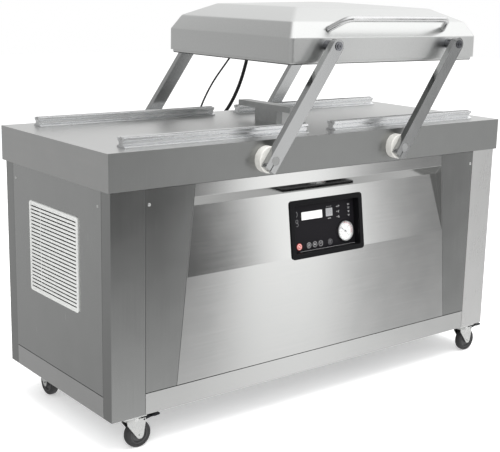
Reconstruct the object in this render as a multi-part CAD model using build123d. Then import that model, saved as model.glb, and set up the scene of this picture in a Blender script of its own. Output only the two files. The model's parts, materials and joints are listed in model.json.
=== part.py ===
from build123d import *
import math
import os

# Double-chamber vacuum packing machine on castors.
# Millimetres, +Z up, +X along the length, -Y is the operator's side.
# Origin: on the floor, under the middle of the work table.
# One swinging lid is carried on two rockers (parallel links), so it stays level
# and seals over the left half or the right half of the table.

os.makedirs("parts", exist_ok=True)

# ---- driving dimensions: table and cabinet ----
table_length = 1480.0
table_depth = 600.0
table_top_z = 800.0
table_skirt = 98.0
table_sheet = 2.0
end_overhang = 10.0
side_overhang = 7.0
panel_sheet = 1.5
panel_gap = 1.0
post_face = 101.5
post_side = 44.0
rail_top_z = 153.0
tube_size = 30.0
tube_wall = 2.0

# ---- folded front panel ----
wing_edge_top = 475.5
wing_edge_slope = 0.0985
recess_top_z = 665.0
recess_floor_z = 636.0
recess_fold_z = 450.0
recess_depth = 26.0

# ---- control panel ----
bezel_width = 283.0
bezel_height = 170.0
bezel_border = 15.0
bezel_lip = 4.0
bezel_radius = 10.0
bezel_centre_x = 4.5
bezel_centre_z = 527.0
well_depth = 20.0
well_wall = 2.5
keypad_sheet = 2.5
keypad_gap = 0.2
key_diameter = 20.0
key_gap = 0.3
key_proud = 0.8
key_thick = 2.6
key_travel = 0.6
key_row_y = -53.0
key_columns = {"key_stop": -95.0, "key_set": -58.5, "key_plus": -35.5,
               "key_minus": -12.5, "key_pump": 25.0}
gauge_x = 86.0
gauge_y = -28.0
gauge_radius = 31.0
gauge_barrel_radius = 27.0
gauge_barrel_length = 24.0
gauge_ring = 3.5
gauge_ring_height = 7.0
dial_depth = 5.0
needle_length = 22.0
needle_angle = 145.0
lens_thick = 1.2

# ---- lid and its linkage ----
pivot_x = 250.0
pivot_below_table = 52.0
link_length = 371.0
link_tilt = 35.27
lid_length = 768.0
lid_edge_gap = 3.0
lid_wall = 3.0
skirt_height = 64.0
bevel_1_inset = 25.0
bevel_1_rise = 43.0
bevel_2_inset = 80.0
bevel_2_rise = 38.0
crown_rise = 13.0
crown_half = 30.0
corner_radius = 12.0
gasket_inset = 5.0
gasket_width = 9.0
gasket_height = 9.5
pivot_above_gasket = 52.6
arm_width = 40.0
arm_thick = 20.0
arm_gap = 28.0
arm_tail = 31.0
clamp_slit = 2.5
clamp_screw_radius = 2.5
clamp_screw_drop = 22.0
shaft_radius = 12.5
journal_radius = 8.0
stud_boss_radius = 15.0
washer_radius = 12.5
stud_screw_radius = 7.0
running_gap = 0.05
free_gap = 0.4
axial_gap = 0.5
flange_radius = 37.0
flange_thick = 24.0
skirt_hole_gap = 2.0

# ---- seal bars, handle, suction stand ----
bar_end_gap = 78.5
bar_side_gap = 67.0
bar_foot = 40.0
bar_waist = 20.0
bar_lip = 32.0
bar_height = 26.0
groove_width = 12.0
groove_depth = 6.0
pad_proud = 1.5
heater_end_gap = 5.5
heater_width = 20.0
heater_height = 14.0
heater_above_pad = 8.0
heater_travel = 7.0
guide_radius = 6.0
guide_spacing = 360.0
cylinder_radius = 18.0
cylinder_lift = 18.0
handle_radius = 9.0
handle_foot_half = 238.0
handle_bar_half = 207.0
handle_foot_inset = 13.0
handle_foot_rise = 86.0
handle_reach = 46.0
handle_lift = 31.0
handle_bend = 34.0
stand_half = 11.0
stand_depth = 106.0
stand_height = 42.0
plate_half = 20.0
plate_depth = 254.0
plate_skirt = 16.0

# ---- castors ----
castor_end_inset = 71.0
castor_front_inset = 25.0
castor_rear_inset = 81.0
castor_trail = 20.0
wheel_radius = 37.5
wheel_width = 24.0
axle_radius = 4.0
fork_gap = 28.0
fork_sheet = 2.5
crown_radius = 23.0
crown_clearance = 6.0
crown_to_body = 14.0
kingpin_radius = 6.0
plate_length = 70.0
plate_width = 50.0
plate_sheet = 3.0
pedal_reach = 80.0
pedal_pin_radius = 2.5

# ---- vent grille ----
vent_centre_y = 8.0
vent_width = 274.0
vent_low_z = 350.0
vent_high_z = 609.0
vent_border = 7.0
vent_proud = 4.0
slat_pitch = 10.5
slat_gap = 4.0

# ---- hoses between table and lid ----
cable_diameter = 12.0
cable_behind_table = 80.0
cable_gland_x = 8.0
cable_gland_drop = 62.0
cable_reach = 30.0
cable_bends = [(0.1833, 0.0431), (0.2938, 0.1213), (0.3854, 0.2453), (0.4609, 0.3908),
               (0.5148, 0.5445), (0.5472, 0.6685)]
air_diameter = 6.0
air_behind_table = 60.0
air_gland_x = -30.0
air_gland_drop = 60.0
air_reach = 24.0
air_bends = [(0.0728, 0.1779), (0.1402, 0.3046), (0.221, 0.4232), (0.3127, 0.5283),
             (0.4016, 0.628), (0.4663, 0.7062)]
gland_radius = 13.0
gland_length = 40.0
gland_journal = 5.0
mains_gland_x = -560.0
mains_gland_z = 230.0
mains_bore = 5.0

# ---- worked-out places ----
half_length = table_length / 2
half_depth = table_depth / 2
body_x = half_length - end_overhang
body_y = half_depth - side_overhang
crown_z = 2 * wheel_radius + crown_clearance
body_bottom_z = crown_z + crown_to_body
castor_x = body_x - castor_end_inset
castor_front_y = body_y - castor_front_inset
castor_rear_y = body_y - castor_rear_inset
pivot_z = table_top_z - pivot_below_table
tilt = math.radians(link_tilt)
link_dx = link_length * math.sin(tilt)
link_dz = link_length * math.cos(tilt)
lid_x = link_dx
top_pivot_z = pivot_z + link_dz
gasket_z = top_pivot_z - pivot_above_gasket
lid_base_z = gasket_z + gasket_height
lid_width = table_depth - 2 * lid_edge_gap
lid_y = lid_width / 2
arm_inner_y = lid_y + arm_gap
arm_outer_y = arm_inner_y + arm_thick
seat_drop = pivot_below_table + pivot_above_gasket
bar_centre_x = math.sqrt(link_length ** 2 - seat_drop ** 2)
bar_length = lid_length - 2 * bar_end_gap
heater_length = bar_length - 2 * heater_end_gap
bar_y = lid_y - bar_side_gap
handle_foot_y = lid_y - handle_foot_inset
cable_plane_y = half_depth + cable_behind_table
air_plane_y = half_depth + air_behind_table
cable_gland = (cable_gland_x, table_top_z - cable_gland_drop)
air_gland = (air_gland_x, table_top_z - air_gland_drop)
slope_angle = math.atan2(recess_depth, recess_floor_z - recess_fold_z)
nodes = {}


def box(x0, x1, y0, y1, z0, z1):
    """Block between two corners."""
    return Pos((x0 + x1) / 2, (y0 + y1) / 2, (z0 + z1) / 2) * Box(x1 - x0, y1 - y0, z1 - z0)


def rod_x(y, z, radius, x0, x1):
    return Pos((x0 + x1) / 2, y, z) * Rot(0, 90, 0) * Cylinder(radius, x1 - x0)


def rod_y(x, z, radius, y0, y1):
    return Pos(x, (y0 + y1) / 2, z) * Rot(90, 0, 0) * Cylinder(radius, y1 - y0)


def rod_z(x, y, radius, z0, z1):
    return Pos(x, y, (z0 + z1) / 2) * Cylinder(radius, z1 - z0)


def mirror_x(shape):
    return shape.mirror(Plane.YZ)


def mirror_y(shape):
    return shape.mirror(Plane.XZ)


def four_ways(shape):
    """The shape in all four corners."""
    pair = [shape, mirror_x(shape)]
    return pair + [mirror_y(item) for item in pair]


def side_prism(points, x0, x1):
    """Outline given as (y, z), run from x0 to x1."""
    outline = Polyline(*[(x0, y, z) for y, z in points], close=True)
    return extrude(make_face(outline), amount=x1 - x0, dir=(1, 0, 0))


def front_prism(points, y0, y1):
    """Outline given as (x, z), run from y0 to y1."""
    outline = Polyline(*[(x, y0, z) for x, z in points], close=True)
    return extrude(make_face(outline), amount=y1 - y0, dir=(0, 1, 0))


def save(name, *shapes):
    """Write one sub-part, each piece in it a separate solid."""
    solids = [solid for shape in shapes for solid in shape.solids()]
    export_step(Compound(solids), f"parts/{name}.step")
    nodes[name] = solids


def square_tube(x0, x1, y0, y1, z0, z1, axis):
    """Hollow square tube lying along one axis."""
    inset = {"x": (0, tube_wall, tube_wall), "y": (tube_wall, 0, tube_wall),
             "z": (tube_wall, tube_wall, 0)}[axis]
    bore = box(x0 + inset[0], x1 - inset[0], y0 + inset[1], y1 - inset[1],
               z0 + inset[2], z1 - inset[2])
    return box(x0, x1, y0, y1, z0, z1) - bore


# =====================================================================
# Cabinet
# =====================================================================

def base_frame():
    """Welded square-tube frame: four legs, ring at the floor, ring under the table."""
    x1 = body_x - panel_sheet - 8.5
    y1 = body_y - panel_sheet - 6.5
    x0 = x1 - tube_size
    y0 = y1 - tube_size
    low = body_bottom_z
    high = table_top_z - table_sheet - tube_size
    pieces = []
    for z in (low, high):
        long_rail = square_tube(-x1, x1, y0, y1, z, z + tube_size, "x")
        end_rail = square_tube(x0, x1, -y0, y0, z, z + tube_size, "y")
        pieces += [long_rail, mirror_y(long_rail), end_rail, mirror_x(end_rail)]
    cross = square_tube(330, 330 + tube_size, -y0, y0, low, low + tube_size, "y")
    middle = square_tube(-tube_size / 2, tube_size / 2, -y0, y0, high, high + tube_size, "y")
    pieces += [cross, mirror_x(cross), middle]
    leg = square_tube(x0, x1, y0, y1, low + tube_size, high, "z")
    return pieces + four_ways(leg)


def corner_posts():
    """Folded corner covers."""
    x1, y1 = body_x, body_y
    top = table_top_z - table_sheet - panel_gap
    outer = box(x1 - post_face, x1, y1 - post_side, y1, body_bottom_z, top)
    inner = box(x1 - post_face - 1, x1 - panel_sheet, y1 - post_side - 1, y1 - panel_sheet,
                body_bottom_z - 1, top + 1)
    return four_ways(outer - inner)


def bottom_rails():
    """Plinth rails between the corner posts, each with a folded top lip."""
    x1 = body_x - post_face - panel_gap
    y1 = body_y
    lip = 12.0
    front = box(-x1, x1, -y1, -y1 + panel_sheet, body_bottom_z, rail_top_z)
    front += box(-x1, x1, -y1, -y1 + lip, rail_top_z - panel_sheet, rail_top_z)
    y2 = body_y - post_side - panel_gap
    side = box(body_x - panel_sheet, body_x, -y2, y2, body_bottom_z, rail_top_z)
    side += box(body_x - lip, body_x, -y2, y2, rail_top_z - panel_sheet, rail_top_z)
    return [front, mirror_y(front), side, mirror_x(side)]


def wing_half(z):
    """Half-width of the middle panel at a height."""
    return wing_edge_top + wing_edge_slope * (panel_top_z - z)


panel_top_z = table_top_z - table_skirt - 2.0
panel_low_z = rail_top_z + 2.0


def front_fascia():
    """Flat wings between the corner posts and the slanted edges of the middle panel."""
    x1 = body_x - post_face - panel_gap
    wing = front_prism([(wing_half(panel_low_z) + panel_gap, panel_low_z), (x1, panel_low_z),
                        (x1, panel_top_z), (wing_half(panel_top_z) + panel_gap, panel_top_z)],
                       -body_y, -body_y + panel_sheet)
    return [wing, mirror_x(wing)]


def middle_outline(shrink):
    return [(-wing_half(panel_low_z) + shrink, panel_low_z),
            (wing_half(panel_low_z) - shrink, panel_low_z),
            (wing_half(panel_top_z) - shrink, panel_top_z),
            (-wing_half(panel_top_z) + shrink, panel_top_z)]


bezel_y = -body_y + recess_depth * (bezel_centre_z - recess_fold_z) / (recess_floor_z - recess_fold_z)
control_plane = Plane(origin=(bezel_centre_x, bezel_y, bezel_centre_z), x_dir=(1, 0, 0),
                      z_dir=(0, -math.cos(slope_angle), math.sin(slope_angle)))


def on_controls(shape):
    """Move a shape from the control panel's own axes (z outwards) to its place."""
    return control_plane.location * shape


def rounded_block(width, height, radius, z0, z1):
    """Rounded rectangle from z0 to z1 in the control panel's own axes."""
    sketch = Pos(0, 0, z0) * RectangleRounded(width, height, radius)
    return extrude(sketch, amount=z1 - z0)


well_width = bezel_width - 2 * bezel_border
well_height = bezel_height - 2 * bezel_border
well_radius = 5.0


def front_panel():
    """Folded middle panel: flat flange, return into the recess, long slope, flat lower part."""
    y = -body_y
    s = panel_sheet
    path = [(y, panel_top_z), (y, recess_top_z), (y + recess_depth, recess_floor_z),
            (y, recess_fold_z), (y, panel_low_z), (y + s, panel_low_z), (y + s, recess_fold_z),
            (y + recess_depth + s, recess_floor_z), (y + s, recess_top_z + s), (y + s, panel_top_z)]
    wide = wing_half(panel_low_z) + 1
    sheet = side_prism(path, -wide, wide)
    sheet = sheet & front_prism(middle_outline(0), y - 1, y + recess_depth + 5)
    hollow = side_prism([(y, recess_top_z), (y + recess_depth, recess_floor_z), (y, recess_fold_z)],
                        -wide, wide)
    cheeks = front_prism(middle_outline(0), y, y + recess_depth)
    cheeks -= front_prism(middle_outline(s), y - 1, y + recess_depth + 1)
    panel = sheet + (cheeks & hollow)
    cut = rounded_block(well_width + 2 * well_wall + 1, well_height + 2 * well_wall + 1,
                        well_radius + well_wall, -30, 10)
    return panel - on_controls(cut)


def side_panel(with_vent):
    """Side skin with an opening behind the vent grille."""
    y1 = body_y - post_side - panel_gap
    skin = box(-body_x, -body_x + panel_sheet, -y1, y1, panel_low_z, panel_top_z + 90)
    if with_vent:
        y0 = vent_centre_y - vent_width / 2 + vent_border
        y2 = vent_centre_y + vent_width / 2 - vent_border
        skin -= box(-body_x - 1, -body_x + panel_sheet + 1, y0, y2,
                    vent_low_z + vent_border, vent_high_z - vent_border)
    return skin


def rear_panel():
    x1 = body_x - post_face - panel_gap
    skin = box(-x1, x1, body_y - panel_sheet, body_y, panel_low_z, panel_top_z + 90)
    skin -= rod_y(mains_gland_x, mains_gland_z, 10.2, body_y - 5, body_y + 5)
    for side in (-1, 1):
        skin -= rod_y(side * pivot_x, pivot_z, shaft_radius + skirt_hole_gap, body_y - 5, body_y + 5)
    for x, z in (cable_gland, air_gland):
        skin -= rod_y(x, z, gland_journal + 3.2, body_y - 5, body_y + 5)
    return skin


def vent_grille():
    """Moulded louvre with rounded slots, on the left side."""
    y0 = vent_centre_y - vent_width / 2
    y1 = vent_centre_y + vent_width / 2
    x0 = -body_x - vent_proud
    plate = box(x0, -body_x, y0, y1, vent_low_z, vent_high_z)
    plate = fillet(plate.edges().filter_by(Axis.X), 8)
    count = int((vent_high_z - vent_low_z - 2 * vent_border) // slat_pitch)
    first = (vent_low_z + vent_high_z) / 2 - (count - 1) * slat_pitch / 2
    for row in range(count):
        z = first + row * slat_pitch
        plate -= box(x0 - 1, -body_x + 1, y0 + vent_border, y1 - vent_border,
                     z - slat_gap / 2, z + slat_gap / 2)
    return plate


def floor_tray():
    """Shelf that carries the pump, on the frame's cross rails."""
    x1 = body_x - panel_sheet - 8.5 - tube_size - panel_gap
    y1 = body_y - panel_sheet - 6.5 - tube_size - panel_gap
    low = body_bottom_z + tube_size
    return box(-x1, x1, -y1, y1, low, low + table_sheet)


def table_top():
    """Work table: one folded stainless tray, open below."""
    low = table_top_z - table_skirt
    outer = box(-half_length, half_length, -half_depth, half_depth, low, table_top_z)
    outer = fillet(outer.edges().filter_by(Axis.Z), 4)
    inner = box(-half_length + table_sheet, half_length - table_sheet,
                -half_depth + table_sheet, half_depth - table_sheet, low - 1,
                table_top_z - table_sheet)
    tray = outer - inner
    for side in (-1, 1):
        tray -= rod_y(side * pivot_x, pivot_z, shaft_radius + skirt_hole_gap,
                      -half_depth - 5, half_depth + 5)
    for x, z in (cable_gland, air_gland):
        tray -= rod_y(x, z, gland_journal + 3.2, half_depth - 5, half_depth + 5)
    tray -= rod_z(0, 0, 8, table_top_z - 5, table_top_z + 5)
    return tray


def pivot_flange():
    """Nylon bearing bush and cover disc for a rocker shaft, front side."""
    disc = rod_y(pivot_x, pivot_z, flange_radius, -half_depth - flange_thick, -half_depth)
    disc = fillet(disc.edges().filter_by(GeomType.CIRCLE).sort_by(Axis.Y)[0], 3)
    bush = rod_y(pivot_x, pivot_z, shaft_radius + skirt_hole_gap - 0.5,
                 -half_depth, -half_depth + 20)
    bore = rod_y(pivot_x, pivot_z, shaft_radius + running_gap,
                 -half_depth - flange_thick - 1, -half_depth + 21)
    return disc + bush - bore


def lower_bar():
    """Extruded seal bar: foot, waist and two lips round the groove for the strip."""
    waist_z = table_top_z + 5
    lip_z = table_top_z + 15
    top = table_top_z + bar_height
    half = [(bar_foot / 2, table_top_z), (bar_foot / 2, table_top_z + 3),
            (bar_waist / 2, waist_z + 3), (bar_waist / 2, lip_z), (bar_lip / 2, lip_z + 4),
            (bar_lip / 2, top), (groove_width / 2, top), (groove_width / 2, top - groove_depth)]
    points = [(bar_y + y, z) for y, z in half]
    points += [(bar_y - y, z) for y, z in reversed(half)]
    return side_prism(points, bar_centre_x - bar_length / 2, bar_centre_x + bar_length / 2)


def lower_pad():
    """Silicone strip in the groove."""
    top = table_top_z + bar_height
    return box(bar_centre_x - bar_length / 2, bar_centre_x + bar_length / 2,
               bar_y - groove_width / 2, bar_y + groove_width / 2, top - groove_depth,
               top + pad_proud)


def suction_stand():
    """T-shaped air port between the two stations: hollow post under a folded cap."""
    top = table_top_z + stand_height
    post = box(-stand_half, stand_half, -stand_depth / 2, stand_depth / 2, table_top_z, top)
    cap = box(-plate_half, plate_half, -plate_depth / 2, plate_depth / 2, top - 1, top + plate_skirt)
    cap -= box(-plate_half + 2, plate_half - 2, -plate_depth / 2 + 2, plate_depth / 2 - 2,
               top - 2, top + plate_skirt - 2)
    post += box(-stand_half, stand_half, -stand_depth / 2, stand_depth / 2, top - 2,
                top + plate_skirt - 1)
    stand = post + cap
    stand -= rod_z(0, 0, 8, table_top_z - 1, top + 5)
    for y in (-30, 0, 30):
        stand -= rod_x(y, top + 5, 5, -stand_half - 1, stand_half + 1)
    stand -= rod_y(0, top + 5, 5, -stand_depth / 2 - 1, stand_depth / 2 + 1)
    return stand


def control_bezel():
    """Black moulded frame with a deep well."""
    lip = rounded_block(bezel_width, bezel_height, bezel_radius, 0, bezel_lip)
    lip = fillet(lip.faces().sort_by(Axis.Z)[-1].outer_wire().edges(), 1.5)
    walls = rounded_block(well_width + 2 * well_wall, well_height + 2 * well_wall,
                          well_radius + well_wall, -well_depth - keypad_sheet, 0)
    hole = rounded_block(well_width, well_height, well_radius, -well_depth - keypad_sheet - 1,
                         bezel_lip + 1)
    return on_controls(lip + walls - hole)


plate_front = -well_depth


def keypad_plate():
    """Front plate of the electronics, at the bottom of the well."""
    plate = rounded_block(well_width - 2 * keypad_gap, well_height - 2 * keypad_gap,
                          well_radius, plate_front - keypad_sheet, plate_front)
    for x in key_columns.values():
        plate -= Pos(x, key_row_y, plate_front) * Cylinder(key_diameter / 2 + key_gap, 20)
    plate -= Pos(gauge_x, gauge_y, plate_front) * Cylinder(gauge_barrel_radius + keypad_gap, 20)
    return on_controls(plate)


def keypad_key(x):
    low = plate_front + key_proud - key_thick
    cap = Pos(x, key_row_y, low + key_thick / 2) * Cylinder(key_diameter / 2, key_thick)
    cap = fillet(cap.edges().filter_by(GeomType.CIRCLE).sort_by(Axis.Z)[-1], 0.3)
    return on_controls(cap)


dial_z = plate_front + gauge_ring_height - dial_depth


def gauge_case():
    """Vacuum gauge: ring on the plate, barrel behind it, dial floor and needle post."""
    ring_top = plate_front + gauge_ring_height
    ring = Pos(gauge_x, gauge_y, (plate_front + ring_top) / 2) * Cylinder(gauge_radius, gauge_ring_height)
    barrel = Pos(gauge_x, gauge_y, plate_front - gauge_barrel_length / 2)
    barrel = barrel * Cylinder(gauge_barrel_radius, gauge_barrel_length)
    cup = Pos(gauge_x, gauge_y, dial_z + 10) * Cylinder(gauge_radius - gauge_ring, 20)
    post = Pos(gauge_x, gauge_y, dial_z + 1.2) * Cylinder(1.0, 2.4)
    return on_controls(ring + barrel - cup + post)


def gauge_needle():
    """Pointer with a hub that turns on the post."""
    base = dial_z + 0.8
    hub = Pos(0, 0, 0.7) * Cylinder(3.0, 1.4)
    blade = Pos(needle_length / 2 - 4, 0, 0.4) * Box(needle_length + 8, 1.6, 0.8)
    needle = hub + blade - Cylinder(1.0 + running_gap, 10)
    needle = Pos(gauge_x, gauge_y, base) * Rot(0, 0, needle_angle) * needle
    return on_controls(needle)


def gauge_lens():
    top = plate_front + gauge_ring_height
    disc = Pos(gauge_x, gauge_y, top - lens_thick / 2) * Cylinder(gauge_radius - gauge_ring, lens_thick)
    return on_controls(disc)


def panel_screws():
    """Pan-head screws in the front wings and the side skins."""
    head = Pos(body_x - post_face - 11.5, -body_y, 660) * Rot(90, 0, 0)
    front = head * Pos(0, 0, 1) * Cylinder(4.5, 2)
    side = Pos(-body_x - 1, body_y - 61, 657) * Rot(0, 90, 0) * Cylinder(4.5, 2)
    return [front, mirror_x(front), side, mirror_y(side), mirror_x(side), mirror_x(mirror_y(side))]


tray_z = body_bottom_z + tube_size + table_sheet


def vacuum_pump():
    """Rotary vane pump: body, oil tank and filter housing in one casting, on two feet."""
    body = box(-420, -170, -95, 95, tray_z + 15, tray_z + 225)
    body = fillet(body.edges().filter_by(Axis.X), 22)
    tank = box(-170, -90, -80, 80, tray_z + 15, tray_z + 180)
    pot = rod_x(0, tray_z + 270, 50, -400, -150)
    feet = [box(x, x + 40, -110, 110, tray_z, tray_z + 16) for x in (-410, -220)]
    pump = body + tank + pot
    for foot in feet:
        pump += foot
    return pump


def pump_motor():
    """Foot-mounted motor with a fan cowl."""
    motor = rod_x(0, tray_z + 110, 78, -90, 170)
    cowl = rod_x(0, tray_z + 110, 84, 170, 215)
    foot = box(-40, 120, -85, 85, tray_z, tray_z + 40)
    return motor + cowl + foot


def sealing_transformers():
    """Two transformers that feed the seal wires: core and coil each."""
    units = []
    for x in (330, 500):
        core = box(x, x + 110, -170, -60, tray_z, tray_z + 115)
        coil = box(x + 20, x + 90, -182, -48, tray_z + 25, tray_z + 90)
        units.append(core + coil)
    return units


def vacuum_valves():
    """Two suction valves and two air valves on a shelf pipe below the table."""
    units = []
    for x in (-120, -60, 60, 120):
        body = box(x - 20, x + 20, 60, 110, 640, 690)
        coil = rod_z(x, 85, 18, 690, 740)
        units.append(body + coil)
    return units


def electrical_box():
    """Control box behind the keypad."""
    return box(-115, 130, -body_y + 88, -body_y + 143, 450, 620)


def counterbalance_spring(x):
    """Closely wound torsion spring round a rocker shaft, outer shape with its two tangs."""
    coil = rod_y(x, pivot_z, 26, 60, 200) - rod_y(x, pivot_z, 18, 59, 201)
    tang = box(x + 19, x + 25, 192, 200, pivot_z, pivot_z + 18)
    return coil + tang


def castor_plate(x, y):
    low = body_bottom_z - plate_sheet
    plate = box(x - plate_length / 2, x + plate_length / 2, y - plate_width / 2, y + plate_width / 2,
                low, body_bottom_z)
    return plate - rod_z(x, y, kingpin_radius + running_gap, low - 1, body_bottom_z + 1)


def gland(x, z, y0, bore):
    """Round gland boss on a rear face, with the bore of the swivel fitting."""
    collar = rod_y(x, z, gland_radius, y0, y0 + gland_length)
    return collar - rod_y(x, z, bore, y0 - 1, y0 + gland_length + 1)


def mains_gland():
    nut = rod_y(mains_gland_x, mains_gland_z, 14, body_y, body_y + 12)
    stem = rod_y(mains_gland_x, mains_gland_z, 10, body_y - 12, body_y)
    cap = rod_y(mains_gland_x, mains_gland_z, 11, body_y + 12, body_y + 24)
    bore = rod_y(mains_gland_x, mains_gland_z, mains_bore, body_y - 13, body_y + 25)
    return nut + stem + cap - bore


# =====================================================================
# Rockers
# =====================================================================

def rocker_frame(side):
    """Place of a rocker's own axes: origin at the lower pivot, z along the arm."""
    return Pos(side * pivot_x, 0, pivot_z) * Rot(0, link_tilt, 0)


def arm(side, top_gap):
    """Flat bar: square clamp end with a slit below, rounded end above, front side."""
    y0, y1 = -arm_outer_y, -arm_inner_y
    half = arm_width / 2
    bar = box(-half, half, y0, y1, -arm_tail, link_length) + rod_y(0, link_length, half, y0, y1)
    bar -= rod_y(0, 0, shaft_radius, y0 - 1, y1 + 1)
    bar -= rod_y(0, link_length, journal_radius + top_gap, y0 - 1, y1 + 1)
    bar -= box(-clamp_slit / 2, clamp_slit / 2, y0 - 1, y1 + 1, -arm_tail - 1, 0)
    screws = []
    for y in (-arm_outer_y + 5, -arm_inner_y - 5):
        hole = rod_x(y, -clamp_screw_drop, clamp_screw_radius, -half - 1, half + 1)
        bar -= hole
        stem = rod_x(y, -clamp_screw_drop, clamp_screw_radius, -half, half)
        head = rod_x(y, -clamp_screw_drop, clamp_screw_radius + 1.5, -half - 2, -half)
        screws.append(stem + head)
    frame = rocker_frame(side)
    return [frame * bar] + [frame * screw for screw in screws]


def rocker_arms(side, top_gap):
    front = arm(side, top_gap)
    return front + [mirror_y(item) for item in front]


def rocker_shaft(side):
    return rod_y(side * pivot_x, pivot_z, shaft_radius, -arm_outer_y, arm_outer_y)


# =====================================================================
# Lid
# =====================================================================

def hood(wall):
    """Solid hipped hood; wall shrinks it evenly to make the inside."""
    insets = [0, 0, bevel_1_inset, bevel_1_inset + bevel_2_inset]
    rises = [0, skirt_height, skirt_height + bevel_1_rise,
             skirt_height + bevel_1_rise + bevel_2_rise]
    shift = wall * 0.6
    lift = [-1.0 if wall else 0.0, -shift, -shift, -wall]
    profiles = []
    for inset, rise, drop in zip(insets, rises, lift):
        rect = RectangleRounded(lid_length - 2 * (inset + wall), lid_width - 2 * (inset + wall),
                                corner_radius)
        profiles.append(Pos(lid_x, 0, lid_base_z + rise + drop) * rect)
    crown = Pos(lid_x, 0, lid_base_z + rises[3] + crown_rise - wall) * RectangleRounded(
        2 * crown_half, 2 * crown_half, corner_radius)
    profiles.append(crown)
    body = loft([profiles[0], profiles[1]], ruled=True)
    for low, high in zip(profiles[1:-1], profiles[2:]):
        body += loft([low, high], ruled=True)
    return body


def lid_shell():
    """Pressed stainless hood, open below."""
    return hood(0) - hood(lid_wall)


def lid_gasket():
    """Square rubber seal under the rim."""
    outer_x = lid_length / 2 - gasket_inset
    outer_y = lid_width / 2 - gasket_inset
    outer = box(lid_x - outer_x, lid_x + outer_x, -outer_y, outer_y, gasket_z, lid_base_z)
    inner_x = outer_x - gasket_width
    inner_y = outer_y - gasket_width
    return outer - box(lid_x - inner_x, lid_x + inner_x, -inner_y, inner_y, gasket_z - 1, lid_base_z + 1)


rim_width = gasket_inset + gasket_width


def lid_rim():
    """Flat folded rim that holds the seal."""
    x1 = lid_length / 2 - lid_wall
    y1 = lid_width / 2 - lid_wall
    outer = box(lid_x - x1, lid_x + x1, -y1, y1, lid_base_z, lid_base_z + 3)
    x2 = lid_length / 2 - rim_width
    y2 = lid_width / 2 - rim_width
    return outer - box(lid_x - x2, lid_x + x2, -y2, y2, lid_base_z - 1, lid_base_z + 4)


def lid_handle():
    """Bent tube on the front bevel; its legs splay out to the feet."""
    z = lid_base_z + handle_foot_rise
    sink = 6.0
    points = []
    for side, rows in ((-1, (0, 1)), (1, (1, 0))):
        for row in rows:
            if row == 0:
                points.append((lid_x + side * (handle_foot_half + sink * 0.5),
                               -handle_foot_y + sink, z - sink * 0.7))
            else:
                points.append((lid_x + side * handle_bar_half, -handle_foot_y - handle_reach,
                               z + handle_lift))
    path = FilletPolyline(*points, radius=handle_bend)
    start = Plane(origin=path @ 0, z_dir=path % 0)
    tube = sweep(start * Circle(handle_radius), path=path)
    return tube - hood(0)


def lid_stud(x, y_sign):
    """Pivot stud: boss on the lid, journal in the arm, washer and cap screw outside."""
    boss = rod_y(x, top_pivot_z, stud_boss_radius, -arm_inner_y + axial_gap, -lid_y)
    journal = rod_y(x, top_pivot_z, journal_radius, -arm_outer_y - axial_gap,
                    -arm_inner_y + axial_gap)
    washer_y = -arm_outer_y - axial_gap
    washer = rod_y(x, top_pivot_z, washer_radius, washer_y - 2, washer_y)
    head = rod_y(x, top_pivot_z, stud_screw_radius, washer_y - 4.5, washer_y - 2)
    socket = Pos(x, washer_y - 4.5, top_pivot_z) * Rot(90, 0, 0)
    socket = socket * extrude(RegularPolygon(3.4, 6), amount=4, both=True)
    stud = boss + journal + washer + (head - socket)
    return stud if y_sign < 0 else mirror_y(stud)


bar_low_z = gasket_z + bar_height + pad_proud + heater_above_pad
guide_top_z = bar_low_z + heater_height + 36


def heater_bar(y_sign):
    """Upper seal bar with its two guide rods."""
    y = y_sign * bar_y
    bar = box(lid_x - heater_length / 2, lid_x + heater_length / 2, y - heater_width / 2,
              y + heater_width / 2, bar_low_z, bar_low_z + heater_height)
    for side in (-1, 1):
        x = lid_x + side * guide_spacing / 2
        bar += rod_z(x, y, guide_radius, bar_low_z + heater_height - 1, guide_top_z)
    return bar


def press_cylinders():
    """Four small lifting cylinders hung from the lid's ceiling, open below for the rods."""
    inside = hood(lid_wall)
    low = bar_low_z + heater_height + cylinder_lift
    units = []
    for x_sign in (-1, 1):
        for y_sign in (-1, 1):
            x = lid_x + x_sign * guide_spacing / 2
            y = y_sign * bar_y
            barrel = rod_z(x, y, cylinder_radius, low, low + 200) & inside
            bore = rod_z(x, y, guide_radius + running_gap, low - 1, guide_top_z + 2)
            units.append(barrel - bore)
    return units


# =====================================================================
# Hoses that follow the lid
# =====================================================================

def heading(a, b):
    """Direction from one (x, z) point to another, from +x towards +z."""
    return math.atan2(b[1] - a[1], b[0] - a[0])


def lid_end(gland_xz):
    """The lid's gland that stands one link away from a table gland."""
    return (gland_xz[0] + link_dx, gland_xz[1] + link_dz)


def hose_points(gland_xz, bends):
    """Bends of a hose, given from its lower gland as shares of the link's length."""
    return [(gland_xz[0] + link_length * right, gland_xz[1] + link_length * up) for right, up in bends]


def hose_route(gland_xz, reach, points):
    """Centre line in the swing plane, from one swivel's ferrule to the other's."""
    end = lid_end(gland_xz)
    out = heading(gland_xz, points[0])
    back = heading(points[-1], end)
    first = (gland_xz[0] + reach * math.cos(out), gland_xz[1] + reach * math.sin(out))
    last = (end[0] - reach * math.cos(back), end[1] - reach * math.sin(back))
    return [first] + points + [last]


def bend_radii(route):
    """Largest arc that the two runs at each corner allow."""
    radii = []
    for a, b, c in zip(route, route[1:], route[2:]):
        run_1 = math.hypot(b[0] - a[0], b[1] - a[1])
        run_2 = math.hypot(c[0] - b[0], c[1] - b[1])
        turn = abs(heading(b, c) - heading(a, b))
        radii.append(0.45 * min(run_1, run_2) / math.tan(turn / 2))
    return radii


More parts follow.
